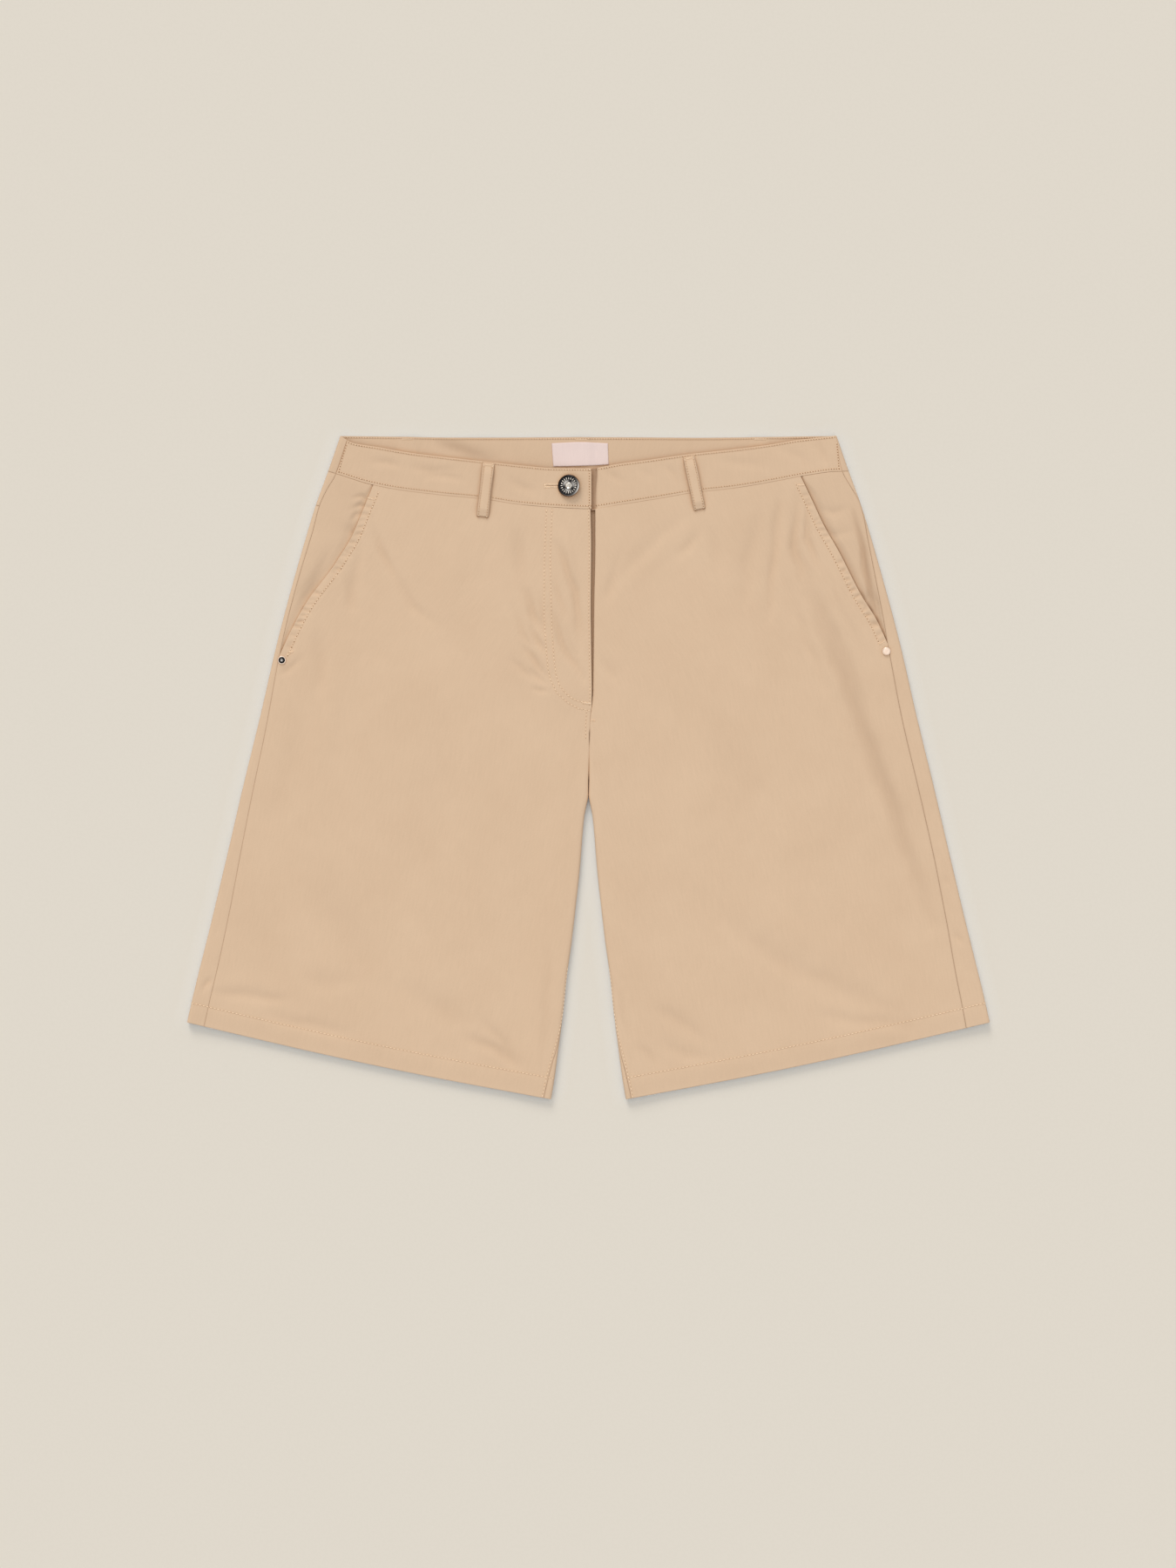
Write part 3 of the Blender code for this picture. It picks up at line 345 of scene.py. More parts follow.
def relief(x, y, creases):
    wx, wy = x + 2.2 * swell(y, x), y + 2.2 * swell(x + 50.0, y)
    total = 0.10 * swell(x, y)
    for line, half_width, height in creases:
        points = np.array(line, float)
        low, high = points.min(0) - 3 * half_width - 4, points.max(0) + 3 * half_width + 4
        inside = (x > low[0]) & (x < high[0]) & (y > low[1]) & (y < high[1])
        if inside.any():
            away, along, _ = to_line(wx[inside], wy[inside], line)
            ends = np.sin(math.pi * mix(0.06, 0.94, along))
            total[inside] += RELIEF * height * np.exp(-((away / half_width) ** 2)) * ends
    return total


# %% [markdown]
# ## The ring of cloth
#
# The front layer and the back layer meet in a rolled fold at each side and inside each leg.  One function
# gives the skin of the top layer and one the underside, each from a station and a skin length, so any
# piece, seam or row of stitches is placed by saying where it runs on the ring.

# %% The skin of the garment
def outer_y(v):
    return np.where(v < 0, mix(WAIST_SIDE_Y, BAND_SIDE_Y, -v), mix(WAIST_SIDE_Y, HEM_SIDE_Y, v))


def front_centre_y(v):
    return np.where(v < 0, mix(WAIST_FRONT_Y, BAND_FRONT_Y, -v), mix(WAIST_FRONT_Y, HEM_INSIDE_Y, v))


def back_centre_y(v):
    upper = mix(WAIST_BACK_Y, CROTCH_Y, v / CROTCH_V)
    return np.where(v < 0, mix(WAIST_BACK_Y, BAND_BACK_Y, -v), np.where(v < CROTCH_V, upper, front_centre_y(v)))


def section(v, centre_y):
    y0, y1 = outer_y(v), centre_y(v)
    x0, x1 = outer_x(y0), np.where(v >= CROTCH_V, inner_x(y1), 0.0)
    return x0, y0, x1, y1, np.hypot(x0 - x1, y0 - y1)


def front_width(v):
    return section(v, front_centre_y)[4]


def back_width(v):
    return section(v, back_centre_y)[4]


def hem_bow(v, t):
    return HEM_BOW * np.sin(math.pi * np.clip(t, 0.0, 1.0)) * step((v - 0.5) / 0.5)


def front_point(side, v, a):
    x0, y0, x1, y1, width = section(v, front_centre_y)
    t = a / width
    share = 1.0 - t
    seam = waist_y[side](share)
    bow = (seam - mix(WAIST_FRONT_Y, WAIST_SIDE_Y, share)) * (1.0 - step(v / 0.3))
    leg = mix(y0, y1, t) + bow - hem_bow(v, t)
    return side * mix(x0, x1, t), np.where(v <= 0, mix(seam, band_y[side](share), -v), leg)


def back_point(side, v, a):
    x0, y0, x1, y1, width = section(v, back_centre_y)
    t = a / width
    dip = TOP_DIP * np.sin(math.pi * np.clip(t, 0.0, 1.0)) ** 2 * step(1.0 - np.abs(v + 1.0))
    return side * mix(x0, x1, t), mix(y0, y1, t) - dip - hem_bow(v, t)


def front_turn(v):
    return step((v - FRONT_TURN_V) / (CROTCH_V - FRONT_TURN_V))


def back_turn(v):
    return step((v - BACK_TURN_V) / (CROTCH_V - BACK_TURN_V))


def seam_arc(inset):
    on_fold = FOLD_R * np.arccos(np.clip(1.0 - inset / FOLD_R, -1.0, 1.0))
    return np.where(inset < FOLD_R, on_fold, FULL_TURN + inset - FOLD_R)


def side_seam(side, v):
    return seam_arc(seam_inset[side](outer_y(v)))


def inseam(side, v):
    return seam_arc(INSEAM_SHOWN[side]) * step((v - INSEAM_FROM_V) / (1.0 - INSEAM_FROM_V))


def pocket_edge(side, v):
    return seam_arc(pocket_inset[side](v / pocket_v[side]))


def front_end(side, v):
    """Skin left between the front's inner edge and the inner fold, and the shift that it asks for."""
    end = FULL_TURN * (1.0 - front_turn(v))
    edge = side * fly_x[side](front_centre_y(v))
    shift = FOLD_R * (1.0 - np.cos(end / FOLD_R)) - edge
    return np.where(v >= CROTCH_V, inseam(side, v), end), np.where(v >= CROTCH_V, 0.0, shift)


def back_end(side, v):
    end = FULL_TURN * (1.0 - back_turn(v))
    shift = FOLD_R * (1.0 - np.cos(end / FOLD_R))
    return np.where(v >= CROTCH_V, -inseam(side, v), end), np.where(v >= CROTCH_V, 0.0, shift)


def top_span(side, v):
    end, shift = front_end(side, v)
    return front_width(v) + (math.pi - 2.0) * FOLD_R + shift - end


def bottom_span(side, v):
    end, shift = back_end(side, v)
    return back_width(v) + (math.pi - 2.0) * FOLD_R + shift - end


def lap(side, v, x):
    """The fly's lap: the right side stands over the left.  x is the distance from the centre line."""
    closing = 1.0 - step((v - FLY_END_V + 0.03) / 0.05)
    if side < 0:
        band = 1.1 * LAP_RISE * (1.0 - step((x - 26.0) / 34.0))
        return np.where(v < 0, band, LAP_RISE * closing * (1.0 - step((x - 30.0) / 26.0)))
    band = -LAP_RISE * (1.0 - step((x - 2.0) / 30.0)) - 1.5 * (1.0 - step((x - 5.5) / 3.0))
    return np.where(v < 0, band, -LAP_SINK * closing * (1.0 - step((x - 6.0) / 26.0)))


POCKET_ROW, FLY_ROW = 6.7, 1.8  # distance of the topstitching from the pocket's and the fly's edge


def pocket_line(side, inside, low=0.02, high=0.98, count=26):
    """X and Y points of a line that runs inside the pocket's edge."""
    v = np.linspace(low, high, count) * pocket_v[side]
    x, y = front_point(side, v, FOLD_R + pocket_edge(side, v) + inside - FULL_TURN)
    return list(zip(x.tolist(), y.tolist()))


ALL_CREASES = list(CREASES)
for side, seed, low, high in ((-1, 4, 0.10, 0.52), (-1, 9, 0.62, 0.97), (1, 6, 0.50, 0.98), (1, 8, 0.1, 0.4)):
    marks = [(x, y) for x, y in pocket_line(side, POCKET_ROW, low, high, 6)]
    reach = (-1.0, 5.5) if side > 0 else (1.0, -5.5)
    ALL_CREASES += puckers(marks, 5.6, reach, 0.34 if low > 0.1 else 0.28, seed)
print("creases and puckers:", len(ALL_CREASES))


def fold_in(length):
    """How far a fold's skin lies inside its own outline, and the height, at a length along the skin.

    A pressed fold is squarer than a half circle, so both are drawn out towards the corner.
    """
    turn = np.clip(length / FOLD_R, 0.0, math.pi / 2)
    return (
        FOLD_R * (1.0 - np.cos(turn) ** PRESSED), FOLD_R * np.sin(turn) ** PRESSED
    )


def on_top(side, v, p, creases=ALL_CREASES):
    """Points of the top layer's skin."""
    v, p = np.broadcast_arrays(np.asarray(v, float), np.asarray(p, float))
    width, shift = front_width(v), front_end(side, v)[1]
    left = width + (math.pi - 2.0) * FOLD_R + shift - p
    on_outer = p < FULL_TURN
    on_inner = (left < FULL_TURN) & (v > 0)
    a = FOLD_R + p - FULL_TURN
    (inner_in, inner_up), (outer_in, outer_up) = fold_in(left), fold_in(p)
    a = np.where(on_inner, width - inner_in + shift, a)
    a = np.where(on_outer, outer_in, a)
    drop = np.where(on_inner, FOLD_R - inner_up, 0.0)
    inside = np.where(on_inner, FOLD_R, np.maximum(width - a, 0.0))
    x, y = front_point(side, v, a)
    inner = 1.0 - np.where(v > 0, front_turn(v), 0.0) * (1.0 - step((inside - FOLD_R) / CLEFT_SETTLE))
    sag = sag_at(v) * step((a - FOLD_R) / SETTLE) * inner
    calm = step((a - FOLD_R) / 8.0) * np.where(v > 0, inner, 0.7)
    bumps = relief(x, y, creases) * calm
    fall = HEM_FALL * step(1.0 - (1.0 - v) * SIDE_LENGTH / 14.0) * step((a - 2.0) / 10.0)
    z = 2.0 * FOLD_R - sag - fall + lap(side, v, side * x) - drop
    z = np.maximum(z + np.minimum(bumps, 1.2), np.minimum(z, 2.2))
    return np.stack([x, y, np.where(on_outer, FOLD_R + outer_up, z)], -1)


def loop_lift(x, v):
    """Rise of the back layer over the belt loops under it."""
    away = np.min([np.abs(x - centre) for centre in BACK_LOOPS.values()], axis=0)
    across = 1.0 - np.clip((away - LOOP_RAMP[0]) / (LOOP_RAMP[1] - LOOP_RAMP[0]), 0.0, 1.0)
    down = 1.0 - np.clip((v - LOOP_RAMP_V[0]) / (LOOP_RAMP_V[1] - LOOP_RAMP_V[0]), 0.0, 1.0)
    return LOOP_LIFT * across * down


def underneath(side, v, p):
    """Points of the back pieces' skin, which rides up over both folds onto the top layer."""
    v, p = np.broadcast_arrays(np.asarray(v, float), np.asarray(p, float))
    width, shift = back_width(v), back_end(side, v)[1]
    left = width + (math.pi - 2.0) * FOLD_R + shift - p
    a = FOLD_R + p - FULL_TURN
    on_inner = (left < FULL_TURN) & (v > 0)
    (inner_in, inner_up), (outer_in, outer_up) = fold_in(left), fold_in(p)
    a = np.where(on_inner, width - inner_in + shift, a)
    a = np.where(p < FULL_TURN, outer_in, a)
    x, y = back_point(side, v, a)
    lifted = np.clip(relief(x, y, BACK_CREASES), 0.0, 0.6) * step(v / 0.1) * step((a - FOLD_R) / 12.0)
    z = np.where(on_inner, FOLD_R - inner_up, loop_lift(x, v) + lifted * step((left - FULL_TURN) / 12.0))
    z = np.where(p < FULL_TURN, FOLD_R - outer_up, z)
    low = np.stack([x, y, z], -1)
    over_outer = on_top(side, v, np.maximum(-p, 0.0))
    front_total = front_width(v) + (math.pi - 2.0) * FOLD_R
    over_inner = on_top(side, v, front_total + np.minimum(left, 0.0))
    return np.where((p < 0)[..., None], over_outer, np.where((left < 0)[..., None], over_inner, low))


# The line of a band of painted shade down the left leg's long trough.
LONG_TROUGH = ((199, 153), (214, 107), (237, 46), (260, -14), (282, -80), (302, -136))


def in_hollows(points, strength=0.085):
    """Painted shade for the troughs, which see less of the room than the cloth round them, and for the long trough.
    """
    x, y = points[..., 0], points[..., 1]
    away, along, _ = to_line(x, y, LONG_TROUGH)
    low = -relief(x, y, ALL_CREASES) - 0.3
    return (
        strength * np.clip(low / 2.4, 0.0, 1.0)
        + 0.07 * np.exp(-((away / 7.0) ** 2)) * np.sin(math.pi * mix(0.04, 0.96, along))
    )


# %% [markdown]
# ## From skin to cloth
#
# A panel starts as a grid on the skin and a Solidify modifier gives it its wall.  A cut edge of real
# cloth is turned under, so near each edge the skin rolls down a little.  Two such edges side by side read
# as a seam, and one over another piece reads as a lap.  The grid keeps its own UV map in metres, across
# and along the grain, which the weave follows.

# %% The shell builder
WALL = 0.7
FINE = np.array([0.0, 0.12, 0.35, 0.75, 1.4, 2.4])  # distances of the first columns from an edge


def graded(start, end, count):
    """Places from start to end, close together at both ends.  start and end may be columns of rows."""
    start, end = np.atleast_1d(start)[:, None], np.atleast_1d(end)[:, None]
    way = np.sign(end - start)
    middle = start + way * FINE[-1] + (end - start - 2 * way * FINE[-1]) * np.linspace(0, 1, count)[None, 1:-1]
    return np.concatenate([start + way * FINE[None], middle, end - way * FINE[None, ::-1]], 1)


def stations(start, end, count):
    """Stations of a panel's rows, close together at its top and bottom edge."""
    return graded(start * SIDE_LENGTH, end * SIDE_LENGTH, count)[0] / SIDE_LENGTH


def spread(start, end, pieces):
    """Stations whose steps vary.  pieces are (length in millimetres, step), the last to the end."""
    low, high = start * SIDE_LENGTH, end * SIDE_LENGTH
    marks = [low + FINE[-1]]
    for length, gap in pieces:
        stop = min(marks[-1] + length, high - FINE[-1])
        marks += list(np.linspace(marks[-1], stop, max(2, round((stop - marks[-1]) / gap)))[1:])
    return np.concatenate([low + FINE[:-1], marks, high - FINE[-2::-1]]) / SIDE_LENGTH


def normals_of(points):
    down = np.gradient(points, axis=0)
    across = np.gradient(points, axis=1)
    normal = np.cross(across, down)
    return normal / np.maximum(np.linalg.norm(normal, axis=2, keepdims=True), 1e-9)


def edge_gaps(points):
    """Distances along the cloth from the first and last row, then from the first and last column."""
    gaps = []
    for axis in (0, 1):
        steps = np.linalg.norm(np.diff(points, axis=axis), axis=2)
        start = np.zeros_like(np.take(steps, [0], axis))
        gaps.append(np.concatenate([start, np.cumsum(steps, axis)], axis))
        gaps.append(np.concatenate([np.flip(np.cumsum(np.flip(steps, axis), axis), axis), start], axis))
    return gaps


def edge_roll(points, radii, up):
    """Rolls the edges of a grid inwards, each by its own radius."""
    normal = normals_of(points)
    if (normal[..., 2].sum() < 0) == up:
        normal = -normal
    drop = np.zeros(points.shape[:2])
    for radius, away in zip(radii, edge_gaps(points)):
        if radius:
            rest = np.clip(radius - away, 0.0, radius)
            drop = np.maximum(drop, radius - np.sqrt(radius**2 - rest**2))
    return points - normal * drop[..., None]


def row_field(points, rows):
    """Signed distance in millimetres from the nearest row of topstitching, seen from above."""
    x, y = points[..., 0], points[..., 1]
    field = np.full(x.shape, 6.0)
    for line in rows:
        away, _, side = to_line(x, y, line)
        field = np.where(away < np.abs(field), away * side, field)
    return field


def cloth(name, points, wall=WALL, radii=(0, 0, 0, 0), up=True, seams=(0, 0, 0, 0), rows=(), shade=0.0, drop=None):
    """A shell of cloth on a grid of skin points.

    radii and seams are for the first and last row, then the first and last column: how far each edge
    rolls down, and how much painted shade a seam there gets, from 0 to 1, which also draws a groove in
    the bump, fully from 0.1 up.  rows are the lines of topstitching, shade is painted shade, how far the
    colour is mixed toward a deep brown where the cloth lies in a trough or runs in under another piece,
    and drop marks quads to leave out.
    """
    rows_on = row_field(points, rows)
    seam_near, shade = np.full(points.shape[:2], 9.0), shade + np.zeros(points.shape[:2])
    # Painted shade along each seam, added to the painted shade given.
    for seam, away in zip(seams, edge_gaps(points)):
        seam_near = np.minimum(seam_near, away + 9.0 * (1.0 - step(np.asarray(seam) / 0.1)))
        shade = np.maximum(shade, seam * np.exp(-((away / 0.6) ** 2)))
    points = edge_roll(points, radii, up)
    count, columns = points.shape[:2]
    index = np.arange(count * columns).reshape(count, columns)
    quads = np.stack([index[:-1, :-1], index[:-1, 1:], index[1:, 1:], index[1:, :-1]], -1)
    quads = quads.reshape(-1, 4) if drop is None else quads[~drop]
    normal = normals_of(points)
    if (normal[..., 2].sum() < 0) == up:
        quads = quads[:, ::-1]
    mesh = bpy.data.meshes.new(name)
    mesh.from_pydata((points.reshape(-1, 3) * MM).tolist(), [], quads.tolist())
    uv = mesh.uv_layers.new(name="cloth")
    across = np.cumsum(np.linalg.norm(np.diff(points, axis=1, prepend=points[:, :1]), axis=2), 1)
    along = np.cumsum(np.linalg.norm(np.diff(points, axis=0, prepend=points[:1]), axis=2), 0)
    grain = np.stack([across, along.mean(1, keepdims=True) + np.zeros_like(across)], -1).reshape(-1, 2) * MM
    loops = np.empty(len(mesh.loops), np.int32)
    mesh.loops.foreach_get("vertex_index", loops)
    uv.data.foreach_set("uv", grain[loops].ravel())
    marks = (("stitch row", rows_on), ("row near", np.abs(rows_on)), ("seam", seam_near), ("shade", shade))
    for word, values in marks:
        mesh.attributes.new(word, "FLOAT", "POINT").data.foreach_set("value", values.ravel().astype(np.float32))
    mesh.shade_smooth()
    mesh.update()
    obj = bpy.data.objects.new(name, mesh)
    bpy.context.scene.collection.objects.link(obj)
    solidify = obj.modifiers.new("wall", "SOLIDIFY")
    solidify.offset = -1.0
    solidify.thickness = wall * MM
    a, b, c, d = (points[:-1, :-1], points[:-1, 1:], points[1:, 1:], points[1:, :-1])
    area = 0.5 * (np.linalg.norm(np.cross(b - a, d - a), axis=2) + np.linalg.norm(np.cross(b - c, d - c), axis=2))
    obj["skin_m2"] = float(area.sum()) * MM * MM
    obj["cut_m"] = [float(across[:, -1].max()) * MM, float(along[-1].max()) * MM]
    print(f"{name}: {count} x {columns} points, {obj['skin_m2'] * 1e4:.0f} cm2")
    return obj


def sew_in(obj, node, finish):
    """Gives a piece its finish and lets it stand for its packed wall."""
    obj.data.materials.append(finish)
    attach(obj, "root")
    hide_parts(node)
    return obj


# %% [markdown]
# ## Finishes
#
# Cotton twill is woven with its weft passing over two or three warps, one thread further on each row, so
# fine ribs run up it at a slant.  Piece-dyed cotton is never quite even, its raised ribs catch more light
# than the valleys, which is drawn in the bump and also as painted light that makes the rib tops a little
# paler, and loose fibres give it a soft sheen at a glancing angle.  All of that comes from nodes that
# read the piece's own grain.  The ribs of this cloth are 0.5 mm apart, too fine to show from a step
# away, so they are drawn 0.9 mm apart.

# %% A helper for nodes, and colours
def linear(hex_colour):
    """An sRGB hex colour as a linear RGBA colour."""
    channels = [int(hex_colour[n : n + 2], 16) / 255 for n in (1, 3, 5)]
    return tuple(c / 12.92 if c <= 0.04045 else ((c + 0.055) / 1.055) ** 2.4 for c in channels) + (1.0,)


def node(tree, kind, settings=(), links=()):
    """Adds a node.  settings are (input or attribute, value), links are (input, output socket)."""
    made = tree.nodes.new(kind)
    for key, value in settings:
        if isinstance(key, str) and hasattr(made, key):
            setattr(made, key, value)
        else:
            made.inputs[key].default_value = value
    for key, socket in links:
        tree.links.new(socket, made.inputs[key])
    return made


def finish(name, settings):
    """A new material with a Principled shader."""
    made = bpy.data.materials.new(name)
    made.use_nodes = True
    shader = made.node_tree.nodes["Principled BSDF"]
    for key, value in settings.items():
        shader.inputs[key].default_value = value
    return made, made.node_tree, shader


def gauss(tree, socket, width):
    """A soft bump function of a distance: 1 at zero, falling away over the width."""
    scaled = node(tree, "ShaderNodeMath", [("operation", "DIVIDE"), (1, width)], [(0, socket)]).outputs[0]
    bent = node(tree, "ShaderNodeMath", [("operation", "MULTIPLY")], [(0, scaled), (1, scaled)])
    down = node(tree, "ShaderNodeMath", [("operation", "MULTIPLY"), (1, -1.0)], [(0, bent.outputs[0])])
    return node(tree, "ShaderNodeMath", [("operation", "EXPONENT")], [(0, down.outputs[0])]).outputs[0]


def add_up(tree, terms):
    """The sum of sockets, each times its own factor."""
    total = None
    for factor, socket in terms:
        links = [(0, socket)] + ([(2, total)] if total else [])
        total = node(
            tree, "ShaderNodeMath", [("operation", "MULTIPLY_ADD"), (1, factor), (2, 0.0)], links
        ).outputs[0]
    return total


def woven(name, base, rib_mm, rib_turn, rib_depth, sheen, roughness, pressed=False):
    """A dyed woven cloth: slanting ribs, uneven dye, fine fibres and a few thicker threads, with the rib tops
    painted a little paler, as painted light.

    Pressed cloth also has its seams drawn in and a shallow channel along each row of topstitching, in the
    bump, and its colour gets painted shade from its shade attribute, a mix toward a deep brown, and a
    painted warm tint where an AO node finds it hidden, for light thrown back between folds.
    """
    settings = {"Roughness": roughness, "Sheen Weight": sheen, "Sheen Roughness": 0.5, "IOR": 1.45}
    made, tree, shader = finish(name, settings)
    shader.inputs["Specular IOR Level"].default_value = 0.25
    grain = node(tree, "ShaderNodeUVMap", [("uv_map", "cloth")])
    turned = node(tree, "ShaderNodeMapping", [("Rotation", (0, 0, rib_turn))], [("Vector", grain.outputs[0])])
    ribs = node(
        tree,
        "ShaderNodeTexWave",
        [("wave_type", "BANDS"), ("bands_direction", "X"), ("wave_profile", "SIN"),
         ("Scale", math.pi / 10.0 / (rib_mm * MM)), ("Distortion", 0.6), ("Detail", 1.0), ("Detail Scale", 3.0)],
        [("Vector", turned.outputs[0])],
    )
    place = node(tree, "ShaderNodeTexCoord")
    dye, fibre = (
        node(
            tree, "ShaderNodeTexNoise", [("Scale", scale), ("Detail", detail), ("Roughness", 0.6)],
            [("Vector", place.outputs["Object"])],
        )
        for scale, detail in ((17.0, 5.0), (900.0, 2.0))
    )
    long_grain = node(tree, "ShaderNodeMapping", [("Scale", (700.0, 60.0, 1.0))], [("Vector", grain.outputs[0])])
    slub = node(tree, "ShaderNodeTexNoise", [("Scale", 1.0), ("Detail", 3.0)], [("Vector", long_grain.outputs[0])])
    dyed = node(
        tree, "ShaderNodeMix", [("data_type", "RGBA"), (6, linear(base[0])), (7, linear(base[1]))],
        [(0, dye.outputs["Fac"])],
    )
    # The ribs' share of this tone is painted light, rib tops a little paler; slub and fibre are the yarn's own uneven
    # tone.
    tone = [(0.08, slub.outputs["Fac"]), (0.03, ribs.outputs["Fac"]), (0.07, fibre.outputs["Fac"])]
    value = node(tree, "ShaderNodeMath", [("operation", "ADD"), (1, 0.91)], [(0, add_up(tree, tone))])
    shaded = node(tree, "ShaderNodeHueSaturation", [], [("Color", dyed.outputs[2]), ("Value", value.outputs[0])])
    colour = shaded.outputs[0]
    relief_terms = [(rib_depth, ribs.outputs["Fac"]), (0.5 * rib_depth, fibre.outputs["Fac"])]
    if pressed:
        row, near, seam, shade = (
            node(tree, "ShaderNodeAttribute", [("attribute_name", word)]).outputs["Fac"]
            for word in ("stitch row", "row near", "seam", "shade")
        )
        close = node(
            tree, "ShaderNodeMapRange", [("From Min", 2.4), ("From Max", 4.2), ("To Min", 1.0), ("To Max", 0.0)],
            [("Value", near)],
        ).outputs[0]
        ditch, fold = gauss(tree, seam, 0.55), gauss(tree, seam, 2.2)
        # Painted warm light: where an AO node finds the cloth hidden, the colour is multiplied by a warm tint, for
        # light thrown back between folds.
        corner = node(tree, "ShaderNodeAmbientOcclusion", [("samples", 3), ("Distance", 5.0 * MM)])
        hidden = node(tree, "ShaderNodeMath", [("operation", "SUBTRACT"), (0, 1.0)], [(1, corner.outputs["AO"])])
        warmed = node(
            tree, "ShaderNodeMix", [("data_type", "RGBA"), ("blend_type", "MULTIPLY"), (7, linear(PAINTED_BOUNCE_TINT))],
            [(0, hidden.outputs[0]), (6, colour)],
        )
        colour = warmed.outputs[2]
        channel, wide = (
            node(tree, "ShaderNodeMath", [("operation", "MULTIPLY")], [(0, gauss(tree, row, width)), (1, close)])
            .outputs[0] for width in (0.8, 2.0)
        )
        # Painted shade: the shade attribute mixes the colour toward a deep brown.
        shade_painted = node(
            tree, "ShaderNodeMix", [("data_type", "RGBA"), (7, linear(PAINTED_SHADE))], [(0, shade), (6, colour)]
        )
        colour = shade_painted.outputs[2]
        relief_terms += [(-0.03, channel), (-0.08, ditch), (-0.05, wide), (-0.08, fold)]
    tree.links.new(colour, shader.inputs["Base Color"])
    bump = node(
        tree, "ShaderNodeBump", [("Strength", 1.0), ("Distance", MM)], [("Height", add_up(tree, relief_terms))]
    )
    tree.links.new(bump.outputs[0], shader.inputs["Normal"])
    return made


def metal(name, colour, roughness, tarnish, bright="#000000"):
    """Plated metal: polished by tumbling, with faint scratches and a thin uneven tarnish.

    Where a piece carries the glint attribute, its colour is mixed toward the bright colour: a painted highlight and
    painted reflection.
    """
    made, tree, shader = finish(name, {"Metallic": 1.0})
    place = node(tree, "ShaderNodeTexCoord")
    wear = node(
        tree, "ShaderNodeTexNoise", [("Scale", 260.0), ("Detail", 6.0)], [("Vector", place.outputs["Object"])]
    )
    film = node(
        tree, "ShaderNodeMix", [("data_type", "RGBA"), (6, linear(colour)), (7, linear(tarnish))],
        [(0, wear.outputs["Fac"])],
    )
    # Painted highlight: the glint attribute mixes the colour toward the bright colour; worn below is that painted
    # mix.
    painted_glint = node(tree, "ShaderNodeAttribute", [("attribute_name", "painted_glint")]).outputs["Fac"]
    worn = node(
        tree, "ShaderNodeMix", [("data_type", "RGBA"), (7, linear(bright))], [(0, painted_glint), (6, film.outputs[2])]
    )
    tree.links.new(worn.outputs[2], shader.inputs["Base Color"])
    rough = node(
        tree, "ShaderNodeMapRange", [("To Min", roughness * 0.7), ("To Max", roughness * 1.5)],
        [("Value", wear.outputs["Fac"])],
    )
    tree.links.new(rough.outputs[0], shader.inputs["Roughness"])
    return made


# Two painted colours: a deep brown that the shade attribute mixes in, painted shade, and a warm tint multiplied in
# where an AO node finds the cloth hidden, painted light thrown back between folds.
PAINTED_SHADE, PAINTED_BOUNCE_TINT = "#653A1B", "#FFE4C6"  # cloth deep inside a fold, and the tint of light that cloth has thrown back
TWILL = woven(
    "garment-dyed cotton twill", ("#C9AC8F", "#D3B79A"), 0.9, math.radians(28.0), 0.03, 0.08, 0.82, pressed=True
)
SATIN = woven("woven satin label tape", ("#D6C0B9", "#DFCCC5"), 0.6, 0.0, 0.02, 0.08, 0.55)
THREAD = woven("corespun polyester thread", ("#E6CBAB", "#EFD8BC"), 0.35, 0.9, 0.02, 0.05, 0.6)
# Painted shade: a dark bead in each needle hole stands for the shade there.
HOLE_SHADE = woven("painted shade of a needle hole", ("#8E6644", "#9C7452"), 0.35, 0.9, 0.02, 0.0, 0.8)
# Black nickel's last colour is the colour of its painted glint.
GUNMETAL = metal("black nickel, polished", "#1C1C1E", 0.10, "#2C2A2A", "#E8E2DA")
BRONZE = metal("brass edge of the shell, lacquered", "#8A5F3C", 0.28, "#6E4A30")
BRIGHT = metal("black nickel, worn bright on the high places", "#F2ECE2", 0.14, "#A59C90")
GILT = metal("pale rose gilt plate, satin", "#F6E4D4", 0.30, "#E3C6AE")
print("finishes:", len(bpy.data.materials))

# %% [markdown]
# ## Floor, light and camera
#
# The shorts are seen from straight above on a plain pale floor.  One wide soft light stands beyond the
# waist, a little to the left, so that the hems throw a short shadow and every crease has a lit and a
# shaded side, and a pale world fills the rest.

# %% Floor, light and camera
def floor_finish():
    made, tree, shader = finish("matt painted board", {"Roughness": 0.9, "IOR": 1.4})
    place = node(tree, "ShaderNodeTexCoord")
    mottle = node(
        tree, "ShaderNodeTexNoise", [("Scale", 400.0), ("Detail", 3.0)], [("Vector", place.outputs["Object"])]
    )
    paint = node(
        tree, "ShaderNodeMix", [("data_type", "RGBA"), (6, linear("#D2CBBF")), (7, linear("#D6CFC3"))],
        [(0, mottle.outputs["Fac"])],
    )
    # Painted light on the floor: where an AO node finds the floor hidden near the garment, the paint is mixed toward
    # a paler, cooler colour, so the shadows there read lighter and cool.
    corner = node(tree, "ShaderNodeAmbientOcclusion", [("samples", 2), ("Distance", 14.0 * MM)])
    hidden = node(tree, "ShaderNodeMath", [("operation", "SUBTRACT"), (0, 1.0)], [(1, corner.outputs["AO"])])
    cool = node(
        tree, "ShaderNodeMix", [("data_type", "RGBA"), (7, linear("#E8F2F6"))],
        [(0, hidden.outputs[0]), (6, paint.outputs[2])],
    )
    tree.links.new(cool.outputs[2], shader.inputs["Base Color"])
    return made


bpy.ops.mesh.primitive_plane_add(size=14.0, location=(0.0, 0.0, -0.0006))
floor = bpy.context.object
floor.name = "floor"
floor.data.materials.append(floor_finish())

